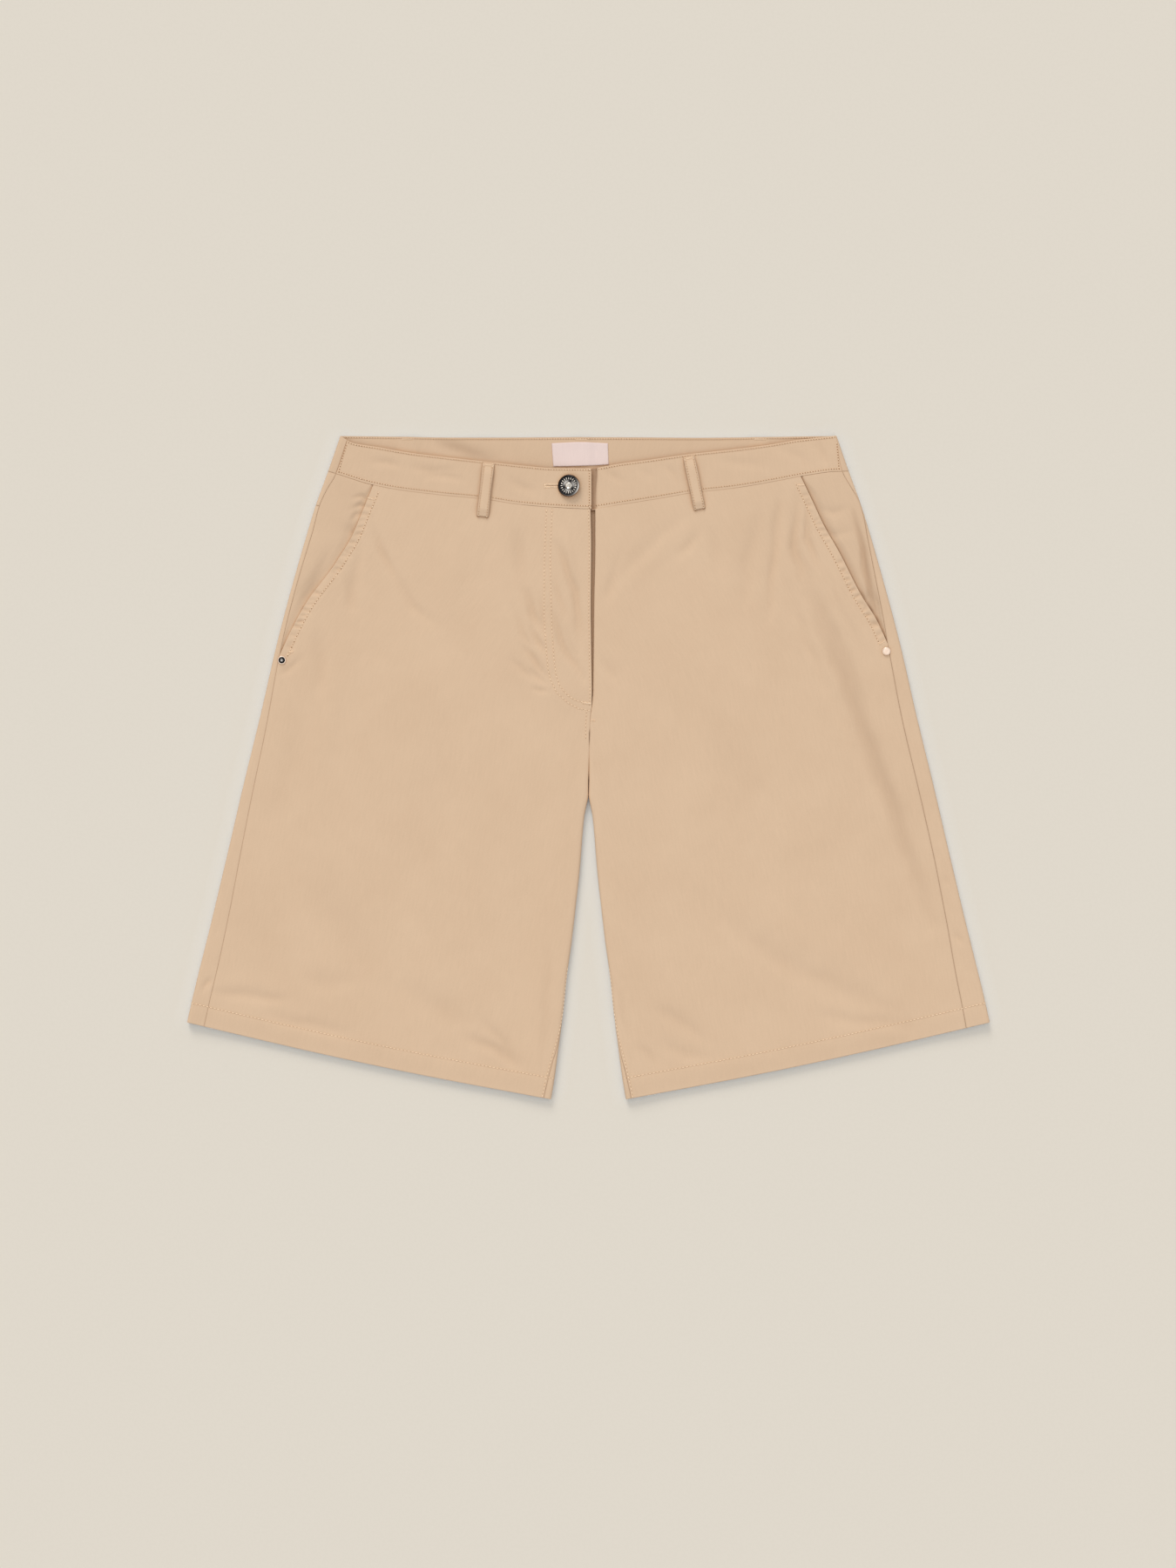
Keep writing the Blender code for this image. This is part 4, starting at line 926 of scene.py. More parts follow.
FRAME_HEIGHT, CAMERA_UP, FRAME_CENTRE = 1.368, 2.6, (-0.0004, -0.0144)
camera = bpy.data.objects.new("camera", bpy.data.cameras.new("camera"))
camera.data.sensor_fit = "VERTICAL"
camera.data.sensor_height = 36.0
camera.data.lens = 36.0 * (CAMERA_UP - 0.005) / FRAME_HEIGHT
camera.location = (*FRAME_CENTRE, CAMERA_UP)
bpy.context.scene.collection.objects.link(camera)
bpy.context.scene.camera = camera


KEY_TURN, KEY_RISE, KEY_SPREAD = math.radians(105.0), math.radians(29.0), math.radians(26.0)
window = bpy.data.objects.new("window light", bpy.data.lights.new("window light", "SUN"))
window.data.energy, window.data.angle, window.data.color = 1.42, KEY_SPREAD, (1.0, 0.97, 0.93)
towards = Vector(
    (math.cos(KEY_TURN) * math.cos(KEY_RISE), math.sin(KEY_TURN) * math.cos(KEY_RISE), math.sin(KEY_RISE))
)
window.rotation_euler = towards.to_track_quat("Z", "Y").to_euler()
window.location = towards * 3.0
bpy.context.scene.collection.objects.link(window)
world = bpy.data.worlds.new("pale room")
world.use_nodes = True
sky = world.node_tree
up = node(sky, "ShaderNodeTexCoord").outputs["Generated"]
rise = node(sky, "ShaderNodeSeparateXYZ", [], [(0, up)]).outputs["Z"]
overhead = node(sky, "ShaderNodeMapRange", [("To Min", 0.34), ("To Max", 1.20)], [("Value", rise)])
sky.nodes["Background"].inputs["Color"].default_value = (0.99, 0.995, 1.0, 1.0)
sky.links.new(overhead.outputs[0], sky.nodes["Background"].inputs["Strength"])
bpy.context.scene.world = world
bpy.context.scene.view_settings.view_transform = "Standard"
print("camera:", CAMERA_UP, "m up, for a picture", FRAME_HEIGHT, "m tall")

# %% [markdown]
# ## Where the rows of topstitching run
#
# Topstitching is both seen and felt: the thread shows, and it draws the cloth into a shallow channel.  So
# each row is laid out once, as a line on the plan of the garment.  The panels read their distance from it
# for the channel, and later the stitches themselves follow the same line.

# %% The rows on the plan
HEM_ROW, EDGE_ROW, WAIST_ROW = 17.0, 1.4, 2.2
HEM_V = 1.0 - HEM_ROW / SIDE_LENGTH


def plan(side, v, p):
    v, p = np.broadcast_arrays(np.asarray(v, float), np.asarray(p, float))
    return [(float(x), float(y)) for x, y, _ in on_top(side, v, p, ())]


def beside(line, away):
    """The line moved sideways, to the left of its own direction where away is positive."""
    line = np.array(line, float)
    along = np.gradient(line, axis=0)
    along /= np.linalg.norm(along, axis=1, keepdims=True)
    return [tuple(q) for q in line + away * np.stack([-along[:, 1], along[:, 0]], -1)]


def ring_top(v):
    return float(front_width(np.array(v))) + (math.pi - 2.0) * FOLD_R


J_ROWS = (
    ((-36.6, 224), (-38.4, 182), (-38.7, 134.5), (-37.3, 107.5), (-35.3, 86), (-33.0, 76), (-27.7, 65.4),
     (-18.3, 56.5), (-8.7, 51.4), (0.7, 49.6)),
    ((0.7, 56.2), (-10.3, 58.0), (-18.3, 62.9), (-24.6, 70.5), (-28.2, 80), (-30, 94), (-31.9, 121),
     (-33.4, 182), (-31.8, 224)),
)
HEM_ROWS, POCKET_ROWS, INSEAM_ROWS, BAND_ROWS = {}, {}, {}, {}
for side in WORDS:
    HEM_ROWS[side] = plan(side, HEM_V, np.linspace(0.2, ring_top(HEM_V) - 0.2, 90))
    edge = pocket_line(side, 0.0, 0.0, 1.0, 40)
    POCKET_ROWS[side] = beside(edge, POCKET_ROW * -side)[1:-1]
    v = np.linspace(0.78, 0.997, 30)
    INSEAM_ROWS[side] = plan(side, v, top_span(side, v) - 1.7)
    reach = OVERLAP - 1.6 if side < 0 else -8.0
    BAND_ROWS[side] = []
    for v in (-1.0 + EDGE_ROW / BAND_HEIGHT, -WAIST_ROW / BAND_HEIGHT):
        end = FULL_TURN - FOLD_R + float(front_width(np.array(v))) + reach
        start = float(side_seam(side, np.array(v))) + 0.8
        BAND_ROWS[side].append(plan(side, v, np.linspace(start, end, 70)))
FLY_ROW_LINE = [(float(fly_x[-1](y)) - FLY_ROW, float(y)) for y in np.linspace(224.5, 56.0, 30)]
CENTRE_ROW = [(-1.7, 49.0), (-2.3, 38.0), (-2.4, 27.0)]
SIDE_ROWS = {
    -1: ((-210.6, 281.6), (-214.6, 270.0), (-217.4, 258.8)),
    1: ((216.6, 283.0), (217.6, 272.0), (218.4, 261.6)),
}
v = -np.linspace(0.965, 0.05, 12)
OVERLAP_ROW = plan(-1, v, FULL_TURN - FOLD_R + front_width(v) + OVERLAP - 1.9)
print("rows on the fronts:", 2 * len(HEM_ROWS) + len(J_ROWS) + 3)

# %% [markdown]
# ## Front panels
#
# Each front is cut away at the pocket and its edges are turned under: at the pocket, at the fly and along
# every seam.  The pocket's mouth gapes a little near its foot, where the front stands off the hip piece.

# %% The fronts
GAPES = {  # x, y, radius, rise of the front's edge, sink of the facing
    -1: ((-243.0, 152.0, 13.0, 0.25, 0.8), (-208.0, 207.0, 6.0, 0.30, 1.2), (-193.0, 228.0, 8.0, 0.1, 0.5)),
    1: ((248.0, 143.0, 11.0, 0.6, 2.1), (228.0, 176.0, 24.0, 0.30, 1.0), (203.0, 220.0, 18.0, 0.15, 0.9)),
}


def gape(side, points, column):
    for mark in GAPES[side]:
        away = np.hypot(points[..., 0] - mark[0], points[..., 1] - mark[1])
        points[..., 2] += mark[column] * np.exp(-((away / mark[2]) ** 2))
    return points


SLITS = ((26.0, 7.5, 0.38), (-16.0, 9.0, 0.9))  # middle, half length and width where the centre seam opens


def slit(v):
    y = front_centre_y(v)
    return sum(width * np.exp(-(((y - middle) / length) ** 4)) for middle, length, width in SLITS)


# Painted shade along the side seams, stronger on the left.
SIDE_DARK = {-1: 0.1, 1: 0.24}  # how dark the side seams are
fronts = {}
for side, word in WORDS.items():
    v = spread(0.0, 1.0, ((165.0, 1.15), (400.0, 2.4)))[:, None]
    start = np.where(v < pocket_v[side], pocket_edge(side, v), side_seam(side, v))
    end = top_span(side, v) - slit(v)
    points = gape(side, on_top(side, v, graded(start[:, 0], end[:, 0], 156)), 3)
    rows = [HEM_ROWS[side], POCKET_ROWS[side], INSEAM_ROWS[side]]
    rows += [*J_ROWS, FLY_ROW_LINE, CENTRE_ROW] if side < 0 else []
    # Painted shade on the fronts: a trace along the waist seam, more along the side seam below the pocket, along the
    # left front's fly edge and along the centre and inside leg seams, most where the centre seam opens, and in the
    # troughs.
    panel = cloth(
        f"front_{word}_cloth", points, radii=(0.2, 0.5, 0.17, 0.4), rows=rows,
        seams=(
            0.06, 0, SIDE_DARK[side] * step((v - pocket_v[side]) / 0.01),
            np.where(v < FLY_END_V, 0.16 if side > 0 else 0.0, 0.1 + 0.6 * slit(v)),
        ),
        shade=in_hollows(points),
    )
    fronts[side] = sew_in(panel, f"front_{word}", TWILL)

# %% [markdown]
# ## Backs and yokes
#
# The back of each leg lies flat on the floor, and wraps up over both folds to meet the front at the side
# seam and the inside leg seam.  Above it the yoke, a shaped strip that takes the place of darts, runs from
# the waist seam to a seam that slopes down to the centre back.

# %% Columns that wrap the folds
def ring_columns(across):
    """Rows of factors for a column's skin length: seam inset, far end, inner fold's turn, and length."""
    rows = [(1.0, 0.0, 0.0, e) for e in FINE]
    rows += [(1.0 - t, 0.0, 0.0, FINE[-1] * (1.0 - t)) for t in np.linspace(0, 1, 18)[1:]]
    rows += [(0.0, 0.0, 0.0, c) for c in np.linspace(0, FULL_TURN + 0.6, 9)[1:]]
    rows += [(0.0, t, -t, 9.0 * (1 - t) - 9.0 * t) for t in np.linspace(0, 1, across)]
    rows += [(0.0, 1.0, -(1 - t), -9.0 * (1 - t) - FINE[-1] * t) for t in np.linspace(0, 1, 18)[1:]]
    rows += [(0.0, 1.0, 0.0, -e) for e in FINE[::-1][1:]]
    return np.array(rows)


def ring_at(side, v, factors):
    turned = FULL_TURN + inseam(side, v)
    return (
        -side_seam(side, v) * factors[:, 0] + bottom_span(side, v) * factors[:, 1]
        + turned * factors[:, 2] + factors[:, 3]
    )


def yoke_v(p):
    across = np.clip(p / outer_x(WAIST_SIDE_Y), 0.0, 1.0)
    centre = YOKE_CENTRE * CROTCH_V / (WAIST_BACK_Y - CROTCH_Y)
    return mix(YOKE_SIDE / SIDE_LENGTH, centre, across)


def wrapped(side, rows, across, upper):
    """Grid of skin points from a seam across the underside.  upper(s, p) turns a row into a station."""
    factors = ring_columns(across)
    s = rows[:, None] + np.zeros((1, len(factors)))
    v = s
    for _ in range(6):
        p = ring_at(side, v, factors)
        v = upper(s, p)
    return underneath(side, v, p)


def back_rows(s, p):
    return np.where(s < CROTCH_V, mix(yoke_v(p), CROTCH_V, s / CROTCH_V), s)


def yoke_line(side, below, low, high):
    """A row of stitching on the underside, a little below the yoke seam."""
    p = np.linspace(low, high, 60)
    return [(float(x), float(y)) for x, y, _ in underneath(side, yoke_v(p) + below / SIDE_LENGTH, p)]


BACK_ACROSS = 70  # columns across the flat of a back panel
print("columns round a back panel:", len(ring_columns(BACK_ACROSS)))
# %% The backs and the yokes
YOKE_ROWS, CENTRE_BACK_ROWS = {}, {}
for side, word in WORDS.items():
    end = float(bottom_span(side, np.array(0.1))) - 1.0
    YOKE_ROWS[side] = [yoke_line(side, below, 0.5, end) for below in (1.7, 7.9)]
    CENTRE_BACK_ROWS[side] = [[(-1.7, 184.0), (-1.7, -14.0)], [(-7.9, 184.0), (-7.9, -14.0)]] if side < 0 else []
    points = wrapped(side, spread(0.0, 1.0, ((600.0, 3.3),)), BACK_ACROSS, back_rows)
    rows = [HEM_ROWS[side], *YOKE_ROWS[side], *CENTRE_BACK_ROWS[side]]
    # Painted shade along the back's yoke seam, side seam and far edge.
    panel = cloth(
        f"back_{word}_cloth", points, radii=(0.3, 0.5, 0.17, 0.3), up=False,
        seams=(0.2, 0, SIDE_DARK[side], 0.12), rows=rows,
    )
    sew_in(panel, f"back_{word}", TWILL)
    points = wrapped(side, stations(0.0, 1.0, 34), BACK_ACROSS, lambda s, p: s * yoke_v(p))
    # Painted shade along every edge of the yoke.
    panel = cloth(
        f"back_yoke_{word}_cloth", points, radii=(0.3, 0.3, 0.25, 0.3), up=False, seams=(0.2, 0.2, 0.12, 0.12)
    )
    sew_in(panel, f"back_yoke_{word}", TWILL)

# %% [markdown]
# ## Pocket facings and fly shield
#
# Behind the slanted pocket edge lies the hip piece, sewn in at the side seam and the waist.  It shows as a
# long triangle and runs on under the front.  The fly shield is the strip behind the zip: only a sliver
# shows in the slit, and the zip itself is closed out of sight.

# %% The facings and the shield
FACING_DROP = {-1: 1.2, 1: 2.0}  # under the front's edge
# Painted shade in the pocket mouths: MOUTH is a band along the front's edge, HIP_TROUGH the line of a dark streak
# down the left facing, and HOLLOWS dark spots where the mouth gapes deepest.
MOUTH = {-1: (0.8, 0.12), 1: (1.1, 0.62)}  # width and depth of the shade along the front's edge
HIP_TROUGH = ((231, 224), (240, 190), (246, 152), (250, 135))
HOLLOWS = {  # x, y, radius, how dark
    -1: ((-208.6, 207.0, 2.6, 0.75), (-190.5, 244.0, 2.0, 0.12)),
    1: ((244.0, 152.0, 7.0, 0.9), (249.5, 140.5, 7.5, 1.0), (254.0, 130.0, 6.0, 0.8)),
}
for side, word in WORDS.items():
    foot = pocket_v[side]
    v = spread(0.0, foot * 1.06, ((400.0, 1.5),))[:, None]
    edge, seam = pocket_edge(side, np.minimum(v, foot)), side_seam(side, v)
    open_width = np.maximum(edge - seam, 1.2)
    p = graded((seam + open_width + 14.0)[:, 0], seam[:, 0], 48)
    points = on_top(side, v, p)
    lower = step(v * SIDE_LENGTH / 18.0)
    rise = step((edge - p - 0.3) / mix(2.0, 8.0, lower))
    rise = np.maximum(rise, 1.0 - step((p - seam) / np.minimum(5.0, 0.75 * open_width)))
    points[..., 2] -= mix(1.0, FACING_DROP[side], lower) * (1.0 - 0.92 * rise)
    shown = step((edge - p + 3.0) / 3.0) * step((p - seam) / 3.0)
    for mark in GAPES[side]:
        away = np.hypot(points[..., 0] - mark[0], points[..., 1] - mark[1])
        points[..., 2] -= mark[4] * np.exp(-((away / mark[2]) ** 2)) * shown
    points[..., 2] = np.maximum(points[..., 2], 2.4)
    # Painted shade on the facing: dark along the front's edge, along the hip trough and in the gaping spots, and a
    # little over the whole facing and in its troughs; its seams get some too.
    width, depth = MOUTH[side]
    dark = depth * np.exp(-((np.maximum(edge - p, 0.0) / width) ** 2))
    if side > 0:
        away, along, _ = to_line(points[..., 0], points[..., 1], HIP_TROUGH)
        dark = np.maximum(dark, 0.28 * np.exp(-((away / 3.0) ** 2)) * np.sin(math.pi * mix(0.1, 0.9, along)))
    for x, y, radius, depth in HOLLOWS[side]:
        near = np.exp(-((np.hypot(points[..., 0] - x, points[..., 1] - y) / radius) ** 2))
        dark = np.maximum(dark, depth * near * np.exp(-((np.maximum(edge - p, 0.0) / 2.2) ** 2)))
    piece = cloth(
        f"pocket_facing_{word}_cloth", points, radii=(0.4, 0, 0, 0.25), seams=(0.2, 0, 0, 0.12),
        shade=np.maximum(dark, 0.03 + in_hollows(points, 0.06)),
    )
    sew_in(piece, f"pocket_facing_{word}", TWILL)

y = np.linspace(225.0, 50.0, 60)[:, None]
corner = step((75.0 - y) / 25.0)
x = mix(-36.0 * (1.0 - 0.75 * corner), 11.0, np.linspace(0, 1, 20)[None])
y = y + np.zeros_like(x)
points = np.stack([x, y, 3.0 + 0.15 * swell(x, y)], -1)
# The shield is painted darker all over, painted shade for the slit it lies in.
sew_in(cloth("fly_shield_cloth", points, shade=0.5), "fly_shield", TWILL)

# %% [markdown]
# ## Waistband
#
# The band is cloth, stiffener and facing, so it is thicker and calmer than the legs.  The right front
# piece carries the buttonhole and laps over the left one, which runs on beneath it.  The back piece shows
# its inside above the front edge, and it bellies up off the floor a little beside the right hip.

# %% The waistband
BAND_WALL = 1.4
HOLE_ENDS, HOLE_Y, HOLE_V = (-37.6, -15.5), 245.6, -0.551
band_rows = graded(-BAND_HEIGHT, 0.0, 16)[0][:, None] / BAND_HEIGHT
bands = {}
for side, word in WORDS.items():
    v, drop = band_rows, None
    if side < 0:
        apart = np.abs(band_rows[:, 0] - HOLE_V) > 0.03
        v = np.sort(np.append(band_rows[apart, 0], [HOLE_V - 0.013, HOLE_V + 0.013]))[:, None]
    reach = OVERLAP if side < 0 else UNDERLAP
    end = FULL_TURN - FOLD_R + front_width(v) + reach
    columns = graded(side_seam(side, v)[:, 0], end[:, 0], 170)
    # Three extra columns near the centre give the painted shadow strip below a crisp edge.
    if side > 0:
        strip = FULL_TURN - FOLD_R + front_width(v) * (1.0 - np.array([[7.4, 6.9, 6.4]]) / outer_x(outer_y(v)))
        columns = np.sort(np.concatenate([columns, strip], 1), axis=1)
    points = on_top(side, v, columns)
    if side < 0:
        upper = int(np.argmin(np.abs(v[:, 0] - HOLE_V + 0.013)))
        t = (points[upper, :, 0] - HOLE_ENDS[0]) / (HOLE_ENDS[1] - HOLE_ENDS[0])
        slot = (t > 0.0) & (t < 1.0)
        lens = 0.04 + 0.05 * np.sin(math.pi * np.clip(t, 0, 1)) ** 0.5
        for row, sign in ((upper, 1.0), (upper + 1, -1.0)):
            points[row, slot, 1] = HOLE_Y + sign * lens[slot]
        drop = np.zeros((len(v) - 1, points.shape[1] - 1), bool)
        drop[upper] = slot[:-1] & slot[1:]
    rows = [*BAND_ROWS[side], SIDE_ROWS[side]] + ([OVERLAP_ROW] if side < 0 else [])
    # Painted shade on the front band: a little over all of it and in its troughs, a dark strip on the left band
    # beside the right band's end for the shadow the overlap casts, and a trace along the waist seam and the right
    # side seam.
    dark = 0.02 + in_hollows(points, 0.06)
    if side > 0:
        wider = 1.5 * step((points[..., 1] - 236.0) / 26.0)
        dark = np.maximum(dark, 0.5 * (1.0 - step((points[..., 0] - 5.8 - wider) / 1.4)))
    piece = cloth(
        f"waistband_front_{word}_cloth", points, wall=BAND_WALL, radii=(0.45, 0.16, 0.3 if side < 0 else 0.12, 0.6),
        seams=(0, 0.04, 0.05 if side < 0 else 0.0, 0),
        rows=rows, shade=dark, drop=drop,
    )
    bands[side] = sew_in(piece, f"waistband_front_{word}", TWILL)


def across_back(v, x):
    return FULL_TURN - FOLD_R + back_width(v) * (1.0 - x / outer_x(outer_y(v)))


def back_band_half(side):
    shown = side_seam(side, band_rows)
    over = -shown * (1.0 - np.linspace(0, 1, 16))[None]
    fold = np.linspace(0, FULL_TURN + 0.6, 9)[None, 1:] + 0.0 * band_rows
    flat = mix(FULL_TURN + 1.6, across_back(band_rows, 0.0), np.linspace(0, 1, 120)[None])
    return underneath(side, band_rows, np.concatenate([over, fold, flat], 1))


BELLY = ((-136.0, 285.0), (-112.0, 279.0), (-84.0, 269.0))
right, left = back_band_half(-1), back_band_half(1)
points = np.concatenate([right, left[:, -2::-1]], 1)
away, along, _ = to_line(points[..., 0], points[..., 1], BELLY)
flat_part = step((200.0 - np.abs(points[..., 0])) / 12.0)
rise = 0.9 * np.exp(-(((points[..., 0] + 105.0) / 55.0) ** 2)) * (1.0 - 0.97 * np.exp(-((away / 6.0) ** 2)))
rise += 0.35 * np.clip(swell(points[..., 0] * 0.7, points[..., 1]), 0.0, 1.0)
down_to_seam = step(-band_rows / 0.25)  # the lift dies out at the waist seam, where the yoke lies flat
points[..., 2] += rise * flat_part * down_to_seam
BACK_EDGE_ROWS = []
for side in WORDS:
    v = -1.0 + EDGE_ROW / BAND_HEIGHT
    p = np.linspace(FULL_TURN + 1.0, float(across_back(np.array(v), 0.0)), 60)
    BACK_EDGE_ROWS.append([(float(x), float(y)) for x, y, _ in underneath(side, np.full(60, v), p)])
# Painted shade on the back band: a little over all of it, more along the crease beside the right hip, and along the
# waist seam and the band's ends.
piece = cloth(
    "waistband_back_cloth", points, wall=BAND_WALL, radii=(0.3, 0.3, 0.3, 0.12), up=False, seams=(0, 0.2, 0.12, 0.03),
    rows=BACK_EDGE_ROWS, shade=0.05 + 0.2 * np.exp(-((away / 5.0) ** 2)) * np.sin(math.pi * np.clip(along, 0, 1)),
)
bands[0] = sew_in(piece, "waistband_back", TWILL)

# %% [markdown]
# ## Belt loops and label
#
# A belt loop is a strip folded in three and edge-stitched, caught in at the top of the band and tacked
# down below it, and it stands off the band between.  Three more lie pressed under the back.  The label is
# a plain woven tape, sewn inside the back band, with its lower edge loose.

# %% Reading a height off the finished cloth
def tree_of(objects):
    """A search tree over the skins of some pieces, for reading heights."""
    verts, faces = [], []
    for obj in objects:
        base = len(verts)
        verts += [vert.co.copy() for vert in obj.data.vertices]
        faces += [tuple(base + n for n in face.vertices) for face in obj.data.polygons]
    return BVHTree.FromPolygons(verts, faces)


PANELS = [obj for obj in bpy.data.objects if obj.name.endswith("_cloth")]
TOP = tree_of([obj for obj in PANELS if "facing" not in obj.name and "shield" not in obj.name])
RIGHT_TOP = tree_of([fronts[-1], bands[-1]])


def height(tree, x, y, below=False):
    """Height in millimetres of the highest (or lowest) cloth at a place, or None where there is none."""
    start, way = (-0.05, 1.0) if below else (0.05, -1.0)
    hit = tree.ray_cast(Vector((x * MM, y * MM, start)), Vector((0, 0, way)))[0]
    return None if hit is None else hit.z / MM


print("the band's skin beside the button:", round(height(RIGHT_TOP, -50.0, 245.0), 1), "mm up")

# %% The belt loops
FRONT_LOOPS = {
    "loop_front_right": ((-87.0, 265.6), (-92.4, 218.6)),
    "loop_front_left": ((87.4, 271.4), (97.0, 225.0)),
}
LOOP_WALL, LOOP_STAND, LOOP_STEPS = 0.9, 1.5, 70
loop_lines = {}
for name, (top, foot) in FRONT_LOOPS.items():
    top, foot = np.array(top), np.array(foot)
    t, offset = np.linspace(0, 1, LOOP_STEPS), np.linspace(-0.5, 0.5, 19)
    along = (foot - top) / np.linalg.norm(foot - top)
    across = np.array([-along[1], along[0]])
    middle = top[None] + (foot - top)[None] * t[:, None]
    skin = np.array([height(TOP, *(place + along * max(0.0, 1.5 - 40 * share))) for place, share in zip(middle, t)])
    skin = np.convolve(np.pad(skin, 4, mode="edge"), np.ones(9) / 9, mode="valid")
    rise = skin + 0.3 + LOOP_WALL + LOOP_STAND * step(t / 0.22) * step((1.0 - t) / 0.16)
    width = LOOP_WIDTH * (1.0 + 0.03 * np.sin(7.0 * t + top[0]))
    points = np.zeros((LOOP_STEPS, 19, 3))
    points[..., :2] = middle[:, None] + across[None, None] * (width[:, None] * offset[None])[..., None]
    points[..., 2] = rise[:, None] + 0.25 * (1.0 - (2 * offset[None]) ** 2) * step(t / 0.3)[:, None]
    loop_lines[name] = [
        [(*(m + across * o), z + 0.15) for m, z in zip(middle[1:-1], rise[1:-1])]
        for o in (-0.5 * LOOP_WIDTH + 1.5, 0.5 * LOOP_WIDTH - 1.5)
    ]
    rows = [[point[:2] for point in loop_lines[name][0]], [point[:2] for point in loop_lines[name][1][::-1]]]
    loop_lines[name].append([(*(middle[3] + across * o), rise[3] + 0.2) for o in np.linspace(-4.6, 4.6, 10)])
    # Painted shade along the loop's edges, most at its foot and along its sides.
    piece = cloth(
        f"{name}_cloth", points, wall=LOOP_WALL, radii=(0.4, 0.4, 0.4, 0.4), rows=rows, seams=(0.1, 0.36, 0.28, 0.28),
    )
    sew_in(piece, name, TWILL)

for name, centre in BACK_LOOPS.items():
    side = -1 if centre < 0 else 1
    ends = [back_point(side, v, back_width(v) * (1.0 - abs(centre) / outer_x(outer_y(v))))[1] for v in BACK_LOOP_V]
    t, offset = np.linspace(0, 1, 40), np.linspace(-0.5, 0.5, 13)
    points = np.zeros((40, 13, 3))
    points[..., 0] = centre + LOOP_WIDTH * offset[None]
    points[..., 1] = mix(ends[0], ends[1], t)[:, None]
    rows = [[(centre + o, float(ends[0]) - 1.6), (centre + o, float(ends[1]) + 1.6)] for o in (-3.7, 3.7)]
    rows[1].reverse()
    loop_lines[name] = [[(line[0][0], y, -0.12) for y in points[2:-2, 0, 1]] for line in rows]
    piece = cloth(f"{name}_cloth", points, wall=0.8, radii=(0.4, 0.4, 0.4, 0.4), up=False, rows=rows)
    sew_in(piece, name, TWILL)

# %% The label
LABEL_TOP, LABEL_LEFT, LABEL_RIGHT = 283.3, (-32.2, -30.8), (17.0, 17.7)
LABEL_FOOT, LABEL_WALL = (262.9, 264.6), 0.4
t, across = np.linspace(0.0, 1.0, 28)[:, None], np.linspace(0.0, 1.0, 50)[None]
x = mix(mix(LABEL_LEFT[0], LABEL_RIGHT[0], across), mix(LABEL_LEFT[1], LABEL_RIGHT[1], across), t)
arch = np.sin(math.pi * across)
y = mix(LABEL_TOP + 0.9 * arch, mix(*LABEL_FOOT, across) - 0.5 * arch, t)
loose = step((t - 0.3) / 0.7) * (0.25 + 0.75 * arch)
INSIDE = tree_of([bands[0]])
under = np.array([[height(INSIDE, a, b) for a, b in zip(*pair)] for pair in zip(x, y)])
z = under + BAND_WALL + LABEL_WALL + 0.12 + 0.5 * loose
label = cloth("label_tape", np.stack([x, y, z], -1), wall=LABEL_WALL, radii=(0.15, 0.15, 0.15, 0.15))
sew_in(label, "label", SATIN)

# %% [markdown]
# ## Metal trim
#
# A shank button is a pressed shell closed over a post.  Its face is dished between a rolled rim and a
# small raised boss, and a plain ring of beads runs round the boss.  The rivets at the pocket's foot are
# solid domes on a thin collar.  Both are turned shapes, so a profile is spun round an axis.

# %% Turned pieces
def spun(name, profile, at, tilt=0.0, lean=0.0, steps=64):
    """A turned mesh from (radius, height) points that run down the outside, tilted and put in place."""
    bm = bmesh.new()
    rings = []
    for radius, z in profile:
        if radius < 1e-6:
            rings.append([bm.verts.new((0.0, 0.0, z))])
        else:
            turns = [2 * math.pi * n / steps for n in range(steps)]
            rings.append([bm.verts.new((radius * math.cos(a), radius * math.sin(a), z)) for a in turns])
    for a, b in zip(rings, rings[1:]):
        for n in range(steps):
            m = (n + 1) % steps
            corners = [a[n % len(a)], b[n % len(b)], b[m % len(b)], a[m % len(a)]]
            corners = [c for i, c in enumerate(corners) if c not in corners[:i]]
            bm.faces.new(corners)
    seat = Matrix.Translation(Vector(at) * MM) @ Matrix.Rotation(tilt, 4, "Y") @ Matrix.Rotation(lean, 4, "X")
    bmesh.ops.transform(bm, matrix=seat @ Matrix.Scale(MM, 4), verts=bm.verts)
    bmesh.ops.remove_doubles(bm, verts=bm.verts, dist=1e-7)
    bmesh.ops.recalc_face_normals(bm, faces=bm.faces)
    mesh = bpy.data.meshes.new(name)
    bm.to_mesh(mesh)
    bm.free()
    mesh.shade_smooth()
    mesh.set_sharp_from_angle(angle=math.radians(38.0))
    obj = bpy.data.objects.new(name, mesh)
    bpy.context.scene.collection.objects.link(obj)
    return obj


def fixed(obj, finish, node=None):
    obj.data.materials.append(finish)
    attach(obj, "root")
    if node:
        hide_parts(node)
    return obj


# %% The button
BUTTON_AT, BUTTON_R, BUTTON_TILT, BUTTON_LEAN = (-16.9, 245.4), 9.6, -math.radians(12.5), math.radians(-3.0)
pivot = height(RIGHT_TOP, -10.0, 245.4) + BUTTON_R * math.sin(-BUTTON_TILT) - 0.6
seat = (*BUTTON_AT, pivot)
shell = (
    (0.0, 1.5), (2.9, 1.5), (3.3, 1.48), (4.2, 1.62), (5.6, 1.98), (7.0, 2.28), (8.2, 2.36), (8.8, 2.26),
    (9.25, 2.0), (9.5, 1.6), (9.6, 1.2), (9.5, 0.75), (9.1, 0.3), (8.3, 0.06), (7.0, 0.0), (1.9, 0.0),
    (1.8, -4.2), (0.0, -4.2),
)
collar = (
    (9.25, 1.75), (9.55, 1.7), (9.74, 1.45), (9.8, 1.1), (9.7, 0.7), (9.4, 0.3), (8.9, 0.05), (8.4, 0.0),
    (8.4, 0.3), (9.25, 1.75),
)
